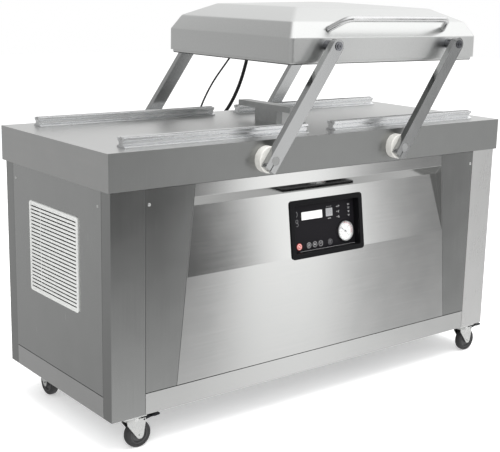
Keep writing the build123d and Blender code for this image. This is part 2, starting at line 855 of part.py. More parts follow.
def hose(name, route, plane_y, diameter):
    radii = bend_radii(route)
    path = FilletPolyline(*[(x, plane_y, z) for x, z in route], radius=radii)
    start = Plane(origin=path @ 0, z_dir=path % 0)
    tube = sweep(start * Circle(diameter / 2), path=path)
    expected = math.pi * diameter ** 2 / 4 * path.length
    print(name, "length", round(path.length, 1), "radii", [round(r) for r in radii],
          "volume ratio", round(tube.volume / expected, 4))
    return tube


def swivel(gland_xz, direction, reach, plane_y, diameter, y0):
    """Swivel elbow: journal in the gland, barrel outside it, ferrule on the hose's end."""
    x, z = gland_xz
    barrel_radius = diameter / 2 + 4
    barrel = rod_y(x, z, barrel_radius, y0 + gland_length + axial_gap, plane_y + barrel_radius)
    journal = rod_y(x, z, gland_journal, y0 + 12, y0 + gland_length + axial_gap + 1)
    turn = 90 - math.degrees(direction)
    ferrule = Rot(0, turn, 0) * Pos(0, 0, reach / 2) * Cylinder(diameter / 2 + 2.5, reach)
    return barrel + journal + Pos(x, plane_y, z) * ferrule


def swivel_pair(gland_xz, reach, points, plane_y, diameter):
    top = lid_end(gland_xz)
    return [swivel(gland_xz, heading(gland_xz, points[0]), reach, plane_y, diameter, half_depth),
            swivel(top, heading(top, points[-1]), reach, plane_y, diameter, lid_y)]


# =====================================================================
# Castors (own axes: swivel axis at the origin, trail along +x)
# =====================================================================

def castor_fork(with_pedal):
    """Pressed fork: bearing cup, crown, two cheeks, axle and king pin."""
    cup_top = body_bottom_z - plate_sheet - 0.5
    cup = rod_z(0, 0, crown_radius, crown_z, cup_top)
    cup = fillet(cup.edges().filter_by(GeomType.CIRCLE).sort_by(Axis.Z)[-1], 3)
    half = fork_gap / 2
    back = castor_trail + 6
    crown = box(-crown_radius + 3, back, -half - fork_sheet, half + fork_sheet, crown_z, crown_z + fork_sheet)
    cheek = front_prism([(-crown_radius + 3, crown_z + fork_sheet), (-crown_radius + 5, crown_z - 10),
                         (castor_trail - 9, wheel_radius - 6), (castor_trail - 4, wheel_radius - 10),
                         (castor_trail + 5, wheel_radius - 10), (castor_trail + 10, wheel_radius - 3),
                         (castor_trail + 17, crown_z - 8), (castor_trail + 17, crown_z + fork_sheet)],
                        half, half + fork_sheet)
    axle = rod_y(castor_trail, wheel_radius, axle_radius, -half - fork_sheet - 3, half + fork_sheet + 3)
    kingpin = rod_z(0, 0, kingpin_radius, cup_top - 1, body_bottom_z - axial_gap)
    fork = cup + crown + cheek + mirror_y(cheek) + axle + kingpin
    if with_pedal:
        fork -= rod_y(pedal_pin_x, pedal_pin_z, pedal_pin_radius + running_gap,
                      -half - fork_sheet - 1, half + fork_sheet + 1)
    return fork


pedal_pin_x = castor_trail + 12.5
pedal_pin_z = crown_z - 2.0


def castor_wheel():
    """Wheel with a hub wider than the tyre; runs on the fork's axle."""
    tyre = rod_y(castor_trail, wheel_radius, wheel_radius, -wheel_width / 2, wheel_width / 2)
    tyre = fillet(tyre.edges().filter_by(GeomType.CIRCLE), 4)
    hub_half = fork_gap / 2 - axial_gap
    hub = rod_y(castor_trail, wheel_radius, 11, -hub_half, hub_half)
    bore = rod_y(castor_trail, wheel_radius, axle_radius + running_gap, -hub_half - 1, hub_half + 1)
    return tyre + hub - bore


def brake_pedal():
    """Foot lever on its own pin, above and behind the wheel."""
    half = fork_gap / 2 - 1
    tip_z = body_bottom_z - plate_sheet - 3
    outline = [(pedal_pin_x - 4, pedal_pin_z - 1.5), (pedal_pin_x + 6, pedal_pin_z - 3.0),
               (pedal_reach - 14, tip_z - 8), (pedal_reach, tip_z - 7), (pedal_reach, tip_z - 2),
               (pedal_reach - 6, tip_z), (pedal_pin_x + 12, crown_z + 3), (pedal_pin_x + 5, crown_z + 1.5),
               (pedal_pin_x - 4, crown_z - 1)]
    lever = front_prism(outline, -half, half)
    tread = front_prism(outline[2:6] + [(pedal_reach - 26, tip_z - 3.5), (pedal_reach - 26, tip_z - 7)],
                        -half - 5, half + 5)
    pin = rod_y(pedal_pin_x, pedal_pin_z, pedal_pin_radius, -half - 1 - fork_sheet, half + 1 + fork_sheet)
    return lever + tread + pin


# =====================================================================
# Write the sub-parts
# =====================================================================

save("base_frame", *base_frame())
save("corner_posts", *corner_posts())
save("bottom_rails", *bottom_rails())
save("front_fascia", *front_fascia())
save("front_panel", front_panel())
save("left_side_panel", side_panel(True))
save("right_side_panel", mirror_x(side_panel(False)))
save("rear_panel", rear_panel())
save("vent_grilles", vent_grille())
save("floor_tray", floor_tray())
save("table_top", table_top())
save("lower_bars", *four_ways(lower_bar()))
save("lower_bar_pads", *four_ways(lower_pad()))
save("suction_stand", suction_stand())
save("pivot_flanges", *four_ways(pivot_flange()))
save("control_bezel", control_bezel())
save("keypad_plate", keypad_plate())
save("gauge_case", gauge_case())
save("gauge_lens", gauge_lens())
save("gauge_needle", gauge_needle())
save("panel_screws", *panel_screws())
save("vacuum_pump", vacuum_pump())
save("pump_motor", pump_motor())
save("sealing_transformers", *sealing_transformers())
save("vacuum_valves", *vacuum_valves())
save("electrical_box", electrical_box())
save("counterbalance_springs", counterbalance_spring(-pivot_x), counterbalance_spring(pivot_x))
save("rear_glands", gland(*cable_gland, half_depth, gland_journal + running_gap),
     gland(*air_gland, half_depth, gland_journal + running_gap), mains_gland())

for key_name, key_x in key_columns.items():
    save(key_name, keypad_key(key_x))

save("left_rocker_shaft", rocker_shaft(-1))
save("left_rocker_arms", *rocker_arms(-1, running_gap))
save("right_rocker_shaft", rocker_shaft(1))
save("right_rocker_arms", *rocker_arms(1, free_gap))

save("lid_shell", lid_shell() + lid_rim())
save("lid_gasket", lid_gasket())
save("lid_handle", lid_handle())
save("lid_pivot_studs", *[lid_stud(lid_x + side * pivot_x, y) for side in (-1, 1) for y in (-1, 1)])
save("press_cylinders", *press_cylinders())
save("lid_glands", *[gland(*lid_end(table_gland), lid_y, gland_journal + free_gap)
                     for table_gland in (cable_gland, air_gland)])
save("front_heater_bar", heater_bar(-1))
save("rear_heater_bar", heater_bar(1))

cable_points = hose_points(cable_gland, cable_bends)
air_points = hose_points(air_gland, air_bends)
cable_route = hose_route(cable_gland, cable_reach, cable_points)
air_route = hose_route(air_gland, air_reach, air_points)
save("lid_power_cable", hose("lid_power_cable", cable_route, cable_plane_y, cable_diameter))
save("lid_air_hose", hose("lid_air_hose", air_route, air_plane_y, air_diameter))
save("power_cable_swivels", *swivel_pair(cable_gland, cable_reach, cable_points, cable_plane_y,
                                         cable_diameter))
save("air_hose_swivels", *swivel_pair(air_gland, air_reach, air_points, air_plane_y, air_diameter))

castors = {"front_left": (-castor_x, -castor_front_y, 0.0),
           "front_right": (castor_x, -castor_front_y, 0.0),
           "rear_left": (-castor_x, castor_rear_y, -90.0),
           "rear_right": (castor_x, castor_rear_y, -90.0)}
save("castor_plates", *[castor_plate(x, y) for x, y, trail_heading in castors.values()])
for corner, (x, y, trail_heading) in castors.items():
    place = Pos(x, y, 0) * Rot(0, 0, trail_heading)
    braked = corner.startswith("front")
    save("fork_" + corner, place * castor_fork(braked))
    save("wheel_" + corner, place * castor_wheel())
    if braked:
        save("brake_pedal_" + corner, place * brake_pedal())

print(len(nodes), "sub-parts")
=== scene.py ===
import json
import math

import bmesh
import bpy
from mathutils import Matrix, Vector

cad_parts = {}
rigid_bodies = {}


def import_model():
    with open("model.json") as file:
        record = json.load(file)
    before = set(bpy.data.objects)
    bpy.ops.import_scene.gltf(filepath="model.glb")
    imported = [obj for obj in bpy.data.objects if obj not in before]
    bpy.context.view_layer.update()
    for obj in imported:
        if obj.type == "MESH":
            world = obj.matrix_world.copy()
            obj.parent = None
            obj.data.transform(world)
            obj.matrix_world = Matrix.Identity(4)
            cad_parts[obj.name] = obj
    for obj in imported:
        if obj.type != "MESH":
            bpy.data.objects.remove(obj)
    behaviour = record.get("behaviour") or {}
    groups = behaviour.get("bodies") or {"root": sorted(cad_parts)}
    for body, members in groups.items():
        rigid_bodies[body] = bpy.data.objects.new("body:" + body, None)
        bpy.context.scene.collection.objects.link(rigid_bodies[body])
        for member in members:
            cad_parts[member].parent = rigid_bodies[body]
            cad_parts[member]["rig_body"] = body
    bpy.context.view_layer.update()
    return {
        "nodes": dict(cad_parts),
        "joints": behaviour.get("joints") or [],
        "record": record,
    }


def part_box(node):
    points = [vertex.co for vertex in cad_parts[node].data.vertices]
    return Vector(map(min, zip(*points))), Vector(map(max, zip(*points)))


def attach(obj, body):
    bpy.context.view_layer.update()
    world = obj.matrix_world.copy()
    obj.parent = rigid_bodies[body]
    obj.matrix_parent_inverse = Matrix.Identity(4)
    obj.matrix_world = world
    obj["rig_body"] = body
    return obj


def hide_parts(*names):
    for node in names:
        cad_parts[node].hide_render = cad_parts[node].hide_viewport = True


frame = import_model()

MM = 0.001
NODES = frame["nodes"]
RECORD = frame["record"]
SLOT_OF = {row["node"]: row["material_slot"] for row in RECORD["subparts"]}
JOINTS = {joint["name"]: joint for joint in frame["joints"]}
FRONT_NAMES = ("front_left", "front_right")
CORNER_NAMES = ("front_left", "front_right", "rear_left", "rear_right")


# =====================================================================
# Small tools
# =====================================================================

def colour(code):
    """sRGB hex to the linear colour a shader takes."""
    values = [int(code[i:i + 2], 16) / 255 for i in (1, 3, 5)]
    linear = [v / 12.92 if v <= 0.04045 else ((v + 0.055) / 1.055) ** 2.4 for v in values]
    return (*linear, 1.0)


def add(tree, kind, inputs=None, **settings):
    """Adds a node with its settings; an input takes a value or another node's output."""
    node = tree.nodes.new(kind)
    for name, value in settings.items():
        setattr(node, name, value)
    for name, value in (inputs or {}).items():
        if isinstance(value, bpy.types.NodeSocket):
            tree.links.new(value, node.inputs[name])
        else:
            node.inputs[name].default_value = value
    return node


def span(node, direction):
    """Lowest and highest reach of a CAD node along a direction, in metres."""
    reach = [vertex.co.dot(direction) for vertex in NODES[node].data.vertices]
    return min(reach), max(reach)


def settle(piece):
    """Turns a piece and its modifiers into one plain mesh."""
    bpy.context.view_layer.update()
    graph = bpy.context.evaluated_depsgraph_get()
    mesh = bpy.data.meshes.new_from_object(piece.evaluated_get(graph), depsgraph=graph)
    if piece.type == "CURVE":
        name = piece.name
        bpy.data.objects.remove(piece)
        piece = bpy.data.objects.new(name, mesh)
        bpy.context.scene.collection.objects.link(piece)
        return piece
    piece.modifiers.clear()
    piece.data = mesh
    return piece


def smooth(mesh, angle=32):
    """Smooth shading that keeps edges sharper than the angle."""
    mesh.shade_smooth()
    mesh.set_sharp_from_angle(angle=math.radians(angle))


def new_piece(name, work, material):
    """A piece from a finished bmesh, in metres in the shared frame."""
    mesh = bpy.data.meshes.new(name)
    work.to_mesh(mesh)
    work.free()
    mesh.materials.append(material)
    piece = bpy.data.objects.new(name, mesh)
    bpy.context.scene.collection.objects.link(piece)
    return piece


def bridge(work, rings, closed=False):
    """Skins a list of equal rings with quads."""
    pairs = list(zip(rings, rings[1:])) + ([(rings[-1], rings[0])] if closed else [])
    for low, high in pairs:
        for k in range(len(low)):
            j = (k + 1) % len(low)
            work.faces.new((low[k], low[j], high[j], high[k]))


def skinned(name, rings, material, crease=40, closed=False):
    """One closed skin over rings of points; a row of rings that isn't closed gets end caps."""
    work = bmesh.new()
    rows = [[work.verts.new(point) for point in ring] for ring in rings]
    bridge(work, rows, closed)
    if not closed:
        work.faces.new(reversed(rows[0]))
        work.faces.new(rows[-1])
    bmesh.ops.recalc_face_normals(work, faces=work.faces)
    piece = new_piece(name, work, material)
    smooth(piece.data, crease)
    return piece


def rounded_outline(half_x, half_y, radius, steps=6):
    """Corner points of a rounded rectangle, anticlockwise."""
    points = []
    for sx, sy, start in ((1, 1, 0), (-1, 1, 90), (-1, -1, 180), (1, -1, 270)):
        for k in range(steps + 1):
            angle = math.radians(start + 90 * k / steps)
            points.append((sx * (half_x - radius) + radius * math.cos(angle),
                           sy * (half_y - radius) + radius * math.sin(angle)))
    return points


def fit_out(piece, body, slot, *nodes):
    """Says which body a piece rides and which CAD nodes it stands for; slot is not used."""
    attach(piece, body)
    if nodes:
        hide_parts(*nodes)
    return piece


def eased(piece, width, segments=2, crease=32):
    """Breaks the sharp edges, as deburring or a mould radius does; flat faces stay flat."""
    ease = piece.modifiers.new("eased edges", "BEVEL")
    ease.limit_method = "ANGLE"
    ease.angle_limit = math.radians(30)
    ease.width = width * MM
    ease.segments = segments
    ease.use_clamp_overlap = True
    settle(piece)
    smooth(piece.data, crease)
    flat = piece.modifiers.new("flat faces", "WEIGHTED_NORMAL")
    flat.keep_sharp = True
    flat.weight = 100
    settle(piece)
    return piece


def dressed(node, material, edge=0.8, segments=2, crease=32, name=None, keep=None):
    """A clean copy of a CAD node with eased edges, in place of the node."""
    source = NODES[node]
    work = bmesh.new()
    work.from_mesh(source.data)
    bmesh.ops.remove_doubles(work, verts=work.verts, dist=0.00001)
    bmesh.ops.dissolve_limit(work, angle_limit=math.radians(0.6), verts=work.verts, edges=work.edges)
    for face in work.faces:
        face.material_index = 0
    if keep:
        spare = [face for face in work.faces if not keep(face)]
        bmesh.ops.delete(work, geom=spare, context="FACES")
    piece = new_piece(name or node + "_finished", work, material)
    eased(piece, edge, segments, crease)
    return fit_out(piece, source["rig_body"], SLOT_OF[node], node)


# =====================================================================
# Materials
# =====================================================================

def start_material(name):
    """An empty material with its shader, and the place on the object in metres."""
    material = bpy.data.materials.new(name)
    material.use_nodes = True
    tree = material.node_tree
    tree.nodes.clear()
    shader = add(tree, "ShaderNodeBsdfPrincipled")
    output = add(tree, "ShaderNodeOutputMaterial")
    tree.links.new(shader.outputs["BSDF"], output.inputs["Surface"])
    place = add(tree, "ShaderNodeTexCoord").outputs["Object"]
    return material, tree, shader, place


def stretched_noise(tree, place, size_mm, detail=3.0):
    """Noise whose grains measure size_mm along x, y and z."""
    scale = [1 / (size * MM) for size in size_mm]
    mapped = add(tree, "ShaderNodeMapping", {"Vector": place, "Scale": scale})
    return add(tree, "ShaderNodeTexNoise", {"Vector": mapped.outputs["Vector"], "Scale": 1.0,
                                            "Detail": detail, "Roughness": 0.55}).outputs["Fac"]


def ranged(tree, value, low, high):
    """Noise from its usual 0.25..0.75 spread to low..high."""
    return add(tree, "ShaderNodeMapRange", {"Value": value, "From Min": 0.25, "From Max": 0.75,
                                            "To Min": low, "To Max": high}).outputs["Result"]


def two_tone(tree, value, dark, light):
    """A colour between two, by noise."""
    mixed = add(tree, "ShaderNodeMix", {"Factor": ranged(tree, value, 0.0, 1.0)}, data_type="RGBA")
    mixed.inputs[6].default_value = colour(dark)
    mixed.inputs[7].default_value = colour(light)
    return mixed.outputs[2]


def brushed_steel(name, dark, light, rough, grain_mm, smudge_mm=90.0, bump=0.1):
    """Belt-ground 304 stainless: fine parallel scratches stretch each reflection across
    the grain, and handling leaves faint cloudy patches. The grain is drawn coarser than
    the real 0.2 mm so that it shows."""
    material, tree, shader, place = start_material(name)
    grain = stretched_noise(tree, place, grain_mm, 4.0)
    smudge = stretched_noise(tree, place, (smudge_mm,) * 3, 2.0)
    both = add(tree, "ShaderNodeMath", {0: grain, 1: smudge}, operation="ADD").outputs[0]
    half = add(tree, "ShaderNodeMath", {0: both, 1: 0.5}, operation="MULTIPLY").outputs[0]
    tree.links.new(two_tone(tree, half, dark, light), shader.inputs["Base Color"])
    tree.links.new(ranged(tree, half, rough - 0.02, rough + 0.02), shader.inputs["Roughness"])
    shader.inputs["Metallic"].default_value = 1.0
    relief = add(tree, "ShaderNodeBump", {"Height": grain, "Strength": bump, "Distance": 0.0001})
    tree.links.new(relief.outputs["Normal"], shader.inputs["Normal"])
    return material


def metal(name, dark, light, rough, grain_mm, bump=0.05):
    """Plated, cast or anodised metal: an even skin with a light mottle."""
    material, tree, shader, place = start_material(name)
    mottle = stretched_noise(tree, place, grain_mm)
    tree.links.new(two_tone(tree, mottle, dark, light), shader.inputs["Base Color"])
    tree.links.new(ranged(tree, mottle, rough - 0.06, rough + 0.06), shader.inputs["Roughness"])
    shader.inputs["Metallic"].default_value = 1.0
    relief = add(tree, "ShaderNodeBump", {"Height": mottle, "Strength": bump, "Distance": 0.0003})
    tree.links.new(relief.outputs["Normal"], shader.inputs["Normal"])
    return material


def moulded(name, dark, light, rough, grain_mm, bump=0.08, ior=1.5, shine=0.5, coat=0.0):
    """Plastic, rubber, paint or enamel: dielectric with a fine texture of its mould or spray."""
    material, tree, shader, place = start_material(name)
    texture = stretched_noise(tree, place, grain_mm)
    tree.links.new(two_tone(tree, texture, dark, light), shader.inputs["Base Color"])
    tree.links.new(ranged(tree, texture, rough - 0.05, rough + 0.05), shader.inputs["Roughness"])
    shader.inputs["IOR"].default_value = ior
    shader.inputs["Specular IOR Level"].default_value = shine
    shader.inputs["Coat Weight"].default_value = coat
    relief = add(tree, "ShaderNodeBump", {"Height": texture, "Strength": bump, "Distance": 0.0003})
    tree.links.new(relief.outputs["Normal"], shader.inputs["Normal"])
    return material


def clear_glass(name):
    """Gauge glass: thin clear soda-lime disc with clean, sharp highlights."""
    material, tree, shader, place = start_material(name)
    dust = stretched_noise(tree, place, (9.0, 9.0, 9.0))
    tree.links.new(ranged(tree, dust, 0.02, 0.06), shader.inputs["Roughness"])
    shader.inputs["Base Color"].default_value = colour("#F7FAFB")
    shader.inputs["IOR"].default_value = 1.45
    shader.inputs["Alpha"].default_value = 0.12
    return material


# Satin stainless sheet is silver grey, ground so finely that the lines only soften a reflection.
# Front panel, ground lengthways: it mirrors the room as broad upright bands of light and dark.
steel_front = brushed_steel("ground stainless, front panel", "#B9BAB9", "#C2C2C1", 0.11, (260.0, 30.0, 2.4))
# Wings beside the panel, ground upright: a little duller than the panel, and a shade darker in colour; the
# darker colour is painted shade, not a different steel.
steel_wing_painted_shade = brushed_steel("ground stainless, wings", "#999A99", "#A1A2A1", 0.13, (2.4, 30.0, 260.0))
# Side and rear skins: plain satin grey with one slow change of tone over each.
steel_side = brushed_steel("ground stainless, side", "#B3B4B3", "#BABBBA", 0.26, (30.0, 2.4, 260.0))
# Left corner posts, ground upright: dark, as they mirror the unlit side of the room.
steel_post_left = brushed_steel("ground stainless, left posts", "#9D9E9D", "#A5A6A5", 0.14,
                                (2.4, 2.4, 260.0))
# Right corner posts, ground upright: pale and soft, as they mirror the lit side of the room.
steel_post_right = brushed_steel("ground stainless, right posts", "#D2D2D1", "#D8D8D7", 0.28,
                                 (2.4, 2.4, 260.0))
# Work table: pale satin sheet, worn even by trays, so reflections are only a sheen.
steel_table = brushed_steel("ground stainless, table", "#C0C1C0", "#C8C8C7", 0.36, (3.0, 260.0, 30.0))
# The table's front skirt, ground upright: a darker copy of the table's own steel, painted shade that makes a
# mid grey band under the bright top.
steel_skirt_painted_shade = brushed_steel("ground stainless, front skirt", "#989998", "#9FA09F", 0.34, (3.0, 30.0, 260.0))
# Bottom rails, ground lengthways: bright, with a slight sheen along the bar.
steel_rail = brushed_steel("ground stainless, rail", "#C8C9C8", "#D0D0CF", 0.20, (260.0, 30.0, 2.0))
# Rockers' ground flat bar: straight grain along each arm, with darker wide faces.
steel_arm = brushed_steel("ground flat bar", "#A4A5A5", "#AEAFAF", 0.19, (2.5, 30.0, 60.0), 60.0)
# Pressed and bead-blasted stainless lid: paler and softer than the ground sheet.
steel_lid = metal("bead-blasted stainless", "#D8D9D8", "#DEDFDE", 0.34, (5.0, 5.0, 5.0), 0.04)
# Mill-finish stainless, as rolled: flat grey without grain, for inner parts and welds.
steel_inside = metal("mill-finish stainless", "#B4B5B5", "#C0C1C0", 0.36, (14.0, 14.0, 14.0), 0.04)
# Polished handle tube: one narrow highlight along its length.
steel_tube = metal("polished stainless tube", "#D2D3D3", "#DCDCDC", 0.18, (30.0, 8.0, 8.0), 0.02)
# Turned and chromed pivot heads: darker than the steel round them, with sharp highlights.
chrome_dark = metal("turned and chromed steel", "#6E6F71", "#84858A", 0.16, (6.0, 2.0, 6.0), 0.02)
# Bright zinc plate: silvery with a soft spangle, for screws and castor forks.
zinc = metal("bright zinc plate", "#DADBDA", "#E6E7E5", 0.24, (12.0, 12.0, 12.0), 0.04)
# Extruded and anodised aluminium: white silver, with faint streaks along the die lines.
anodised = metal("natural anodised aluminium", "#E8E9EA", "#EFF0F1", 0.26, (180.0, 12.0, 12.0), 0.02)
# Blued steel pedal: near black with a dull metallic sheen.
black_steel = metal("blued screw steel", "#2B2C2E", "#3C3D40", 0.32, (4.0, 4.0, 4.0), 0.03)
# Oiled spring steel: brown-black and slightly wet looking.
spring_steel = metal("oiled spring steel", "#3E3D3A", "#55534E", 0.38, (3.0, 3.0, 3.0), 0.05)
# Transformer laminations under brown lacquer: fine flat stripes, one per sheet.
iron_core = metal("lacquered laminations", "#4A4038", "#5E5146", 0.5, (40.0, 40.0, 0.8), 0.2)
# Moulded black ABS: deep black with a fine matt texture, which keeps reflections weak.
abs_black = moulded("black ABS, moulded", "#0B0B0D", "#131315", 0.45, (0.9, 0.9, 0.9), 0.06, 1.53, 0.12)
# Keypad film: printed matt polyester, a touch lighter than the bezel.
film_black = moulded("keypad film", "#151417", "#1D1C1F", 0.42, (1.2, 1.2, 1.2), 0.04, 1.5, 0.1)
# Screen-printed ink, flat and without gloss: light grey for icons, dark grey for the fainter ones.
print_grey = moulded("screen-printed grey", "#A8A8A9", "#BDBDBE", 0.5, (0.7, 0.7, 0.7), 0.02)
print_dim = moulded("screen-printed dark grey", "#6A6A6C", "#7C7C7E", 0.5, (0.7, 0.7, 0.7), 0.02)
# Polycarbonate keys: smooth and lightly glossed, red for stop and dark grey for the rest.
key_red = moulded("red polycarbonate key", "#C0392E", "#D8574A", 0.35, (2.0, 2.0, 2.0), 0.03, coat=0.2)
key_dark = moulded("dark polycarbonate key", "#232225", "#2C2B2E", 0.4, (2.0, 2.0, 2.0), 0.03, shine=0.2)
# Blank plate: white enamel with a clear gloss.
plate_white = moulded("blank plate, white enamel", "#E9E9E8", "#F6F6F5", 0.3, (3.0, 3.0, 3.0), 0.02,
                      coat=0.3)
# Unlit display behind a glossy window: plain mid grey.
display_grey = moulded("display window", "#8F9092", "#A2A3A5", 0.25, (1.5, 1.5, 1.5), 0.02, coat=0.4)
# Gauge dial: matt white enamel, with red and black print that stays dull.
dial_white = moulded("white dial enamel", "#DEDEDC", "#E6E6E4", 0.35, (2.0, 2.0, 2.0), 0.01)
dial_red = moulded("red dial print", "#961A2C", "#AC2A3C", 0.45, (1.0, 1.0, 1.0), 0.01)
dial_black = moulded("black dial print", "#141414", "#202020", 0.45, (1.0, 1.0, 1.0), 0.01)
# Vent's light grey ABS: matt and even, so the louvres read by their shadows.
grille_grey = moulded("light grey ABS, moulded", "#BEBFBD", "#CACBC9", 0.48, (1.1, 1.1, 1.1), 0.06)
# Turned nylon flanges: off-white and waxy, with faint rings from the tool.
nylon = moulded("turned nylon", "#BEBDB9", "#CAC9C4", 0.42, (7.0, 1.2, 7.0), 0.05, 1.53)
# Silicone strips on the seal bars: mid grey and dull.
silicone = moulded("grey silicone", "#8B8C8C", "#9C9D9D", 0.55, (2.5, 2.5, 2.5), 0.05, 1.41)
# Lid seal: open-cell black sponge rubber, nearly without highlight.
seal_rubber = moulded("black sponge rubber", "#141414", "#1E1E1E", 0.75, (1.4, 1.4, 1.4), 0.25)
# Tyres: grey-black rubber, dusty and dull.
tyre_rubber = moulded("grey-black tyre rubber", "#222223", "#313132", 0.62, (3.0, 3.0, 3.0), 0.12)
# Wheel cores: dark polypropylene, a little lighter and smoother than the tyre.
wheel_core = moulded("dark polypropylene", "#3A3A3B", "#4A4A4B", 0.45, (2.0, 2.0, 2.0), 0.06)
# Hose jackets: smooth black rubber with one soft highlight along the hose.
hose_black = moulded("black hose rubber", "#0C0C0D", "#151516", 0.45, (1.5, 1.5, 1.5), 0.05)
# Glands and swivels: black polyamide with a fine moulded texture.
gland_black = moulded("black polyamide", "#101011", "#19191A", 0.45, (1.2, 1.2, 1.2), 0.06)
# Inner frame: grey powder coat with an orange-peel skin.
powder_grey = moulded("grey powder coat", "#55585A", "#63666A", 0.5, (1.8, 1.8, 1.8), 0.18)
# Pump and motor: blue-grey hammer enamel, dimpled and half glossy.
pump_enamel = moulded("blue-grey hammer enamel", "#2F3D4C", "#46586A", 0.35, (4.0, 4.0, 4.0), 0.3)
glass = clear_glass("gauge glass")


# =====================================================================
# Cabinet and table
# =====================================================================

# The wings (front_fascia) take the darker steel with painted shade.
SHEET_FINISH = {"bottom_rails": (steel_rail, 0.6), "front_fascia": (steel_wing_painted_shade, 0.5),
                "front_panel": (steel_front, 0.5), "left_side_panel": (steel_side, 0.5),
                "right_side_panel": (steel_side, 0.5), "rear_panel": (steel_side, 0.5),
                "floor_tray": (steel_inside, 0.5)}

for node, (material, edge) in SHEET_FINISH.items():
    dressed(node, material, edge, crease=6)

dressed("corner_posts", steel_post_left, 1.8, crease=6, name="left_corner_posts",
        keep=lambda face: face.calc_center_median().x < 0)
dressed("corner_posts", steel_post_right, 1.8, crease=6, name="right_corner_posts",
        keep=lambda face: face.calc_center_median().x > 0)
table = dressed("table_top", steel_table, 1.6, 3, crease=20)
# The table's front-facing faces get the darker copy: painted shade on the skirt.
table.data.materials.append(steel_skirt_painted_shade)
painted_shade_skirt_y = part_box("table_top")[0].y + 1.0 * MM
for face in table.data.polygons:
    if face.normal.y < -0.9 and face.center.y < painted_shade_skirt_y:
        face.material_index = 1

# CAD nodes whose shape is right: finish, width of the eased edges in millimetres and their segments
PLAIN_FINISH = {"base_frame": (powder_grey, 1.0, 2), "suction_stand": (steel_inside, 0.8, 2),
                "pivot_flanges": (nylon, 1.2, 3), "lower_bars": (anodised, 0.5, 2),
                "lower_bar_pads": (silicone, 0.8, 2), "vacuum_pump": (pump_enamel, 2.0, 2),
                "pump_motor": (pump_enamel, 1.5, 2), "sealing_transformers": (iron_core, 1.0, 2),
                "vacuum_valves": (abs_black, 0.8, 2), "electrical_box": (powder_grey, 1.0, 2),
                "counterbalance_springs": (spring_steel, 0.6, 2), "rear_glands": (gland_black, 1.0, 2),
                "control_bezel": (abs_black, 1.2, 3), "keypad_plate": (film_black, 0.3, 2),
                "gauge_needle": (dial_black, 0.15, 2), "gauge_lens": (glass, 0.2, 2),
                "lid_pivot_studs": (chrome_dark, 0.8, 2), "lid_glands": (gland_black, 1.0, 2),
                "press_cylinders": (anodised, 0.8, 2), "front_heater_bar": (anodised, 0.6, 2),
                "rear_heater_bar": (anodised, 0.6, 2), "left_rocker_arms": (steel_arm, 1.0, 3),
                "right_rocker_arms": (steel_arm, 1.0, 3), "left_rocker_shaft": (steel_inside, 0.8, 2),
                "right_rocker_shaft": (steel_inside, 0.8, 2), "castor_plates": (zinc, 0.5, 2)}
PLAIN_FINISH.update({"fork_" + corner: (zinc, 0.7, 2) for corner in CORNER_NAMES})
PLAIN_FINISH.update({"brake_pedal_" + corner: (black_steel, 0.8, 2) for corner in FRONT_NAMES})

for node, (material, edge, segments) in PLAIN_FINISH.items():
    dressed(node, material, edge, segments)


# ---- repeated small pieces by geometry nodes ----

def start_tree(name, inputs):
    """A geometry tree with named inputs, given as (name, socket type)."""
    tree = bpy.data.node_groups.new(name, "GeometryNodeTree")
    for label, kind in inputs:
        tree.interface.new_socket(label, in_out="INPUT", socket_type="NodeSocket" + kind)
    tree.interface.new_socket("Copies", in_out="OUTPUT", socket_type="NodeSocketGeometry")
    return tree, add(tree, "NodeGroupInput").outputs


def end_tree(tree, given, inputs):
    """Copies the template on the points, makes the copies real and gives them their finish."""
    template = add(tree, "GeometryNodeObjectInfo", {"Object": given["Template"]}).outputs["Geometry"]
    copies = add(tree, "GeometryNodeInstanceOnPoints", {"Instance": template, **inputs})
    real = add(tree, "GeometryNodeRealizeInstances", {"Geometry": copies.outputs["Instances"]})
    done = add(tree, "GeometryNodeSetMaterial", {"Geometry": real.outputs["Geometry"],
                                                 "Material": given["Finish"]})
    add(tree, "NodeGroupOutput", {"Copies": done.outputs["Geometry"]})
    return tree


def spread_tree():
    """Puts a copy of a template on every point, turned by the point's own angles."""
    tree, given = start_tree("spread copies", (("Points", "Geometry"), ("Template", "Object"),
                                               ("Size", "Float"), ("Finish", "Material")))
    angles = add(tree, "GeometryNodeInputNamedAttribute", {"Name": "turn"}, data_type="FLOAT_VECTOR")
    turn = add(tree, "FunctionNodeEulerToRotation", {"Euler": angles.outputs["Attribute"]})
    return end_tree(tree, given, {"Points": given["Points"], "Rotation": turn.outputs["Rotation"],
                                  "Scale": given["Size"]})


def row_tree():
    """Repeats a template in a straight row."""
    tree, given = start_tree("row of copies", (("Start", "Geometry"), ("Template", "Object"),
                                               ("Count", "Int"), ("First", "Vector"),
                                               ("Step", "Vector"), ("Finish", "Material")))
    line = add(tree, "GeometryNodeMeshLine", {"Count": given["Count"], "Start Location": given["First"],
                                              "Offset": given["Step"]})
    return end_tree(tree, given, {"Points": line.outputs["Mesh"]})


SPREAD = spread_tree()
ROW = row_tree()


def run_tree(piece, tree, values):
    """Runs a geometry node tree on a piece and keeps the plain mesh."""
    modifier = piece.modifiers.new(tree.name, "NODES")
    modifier.node_group = tree
    for socket in tree.interface.items_tree:
        if socket.in_out == "INPUT" and socket.name in values:
            modifier[socket.identifier] = values[socket.name]
    settle(piece)
    smooth(piece.data)
    return piece


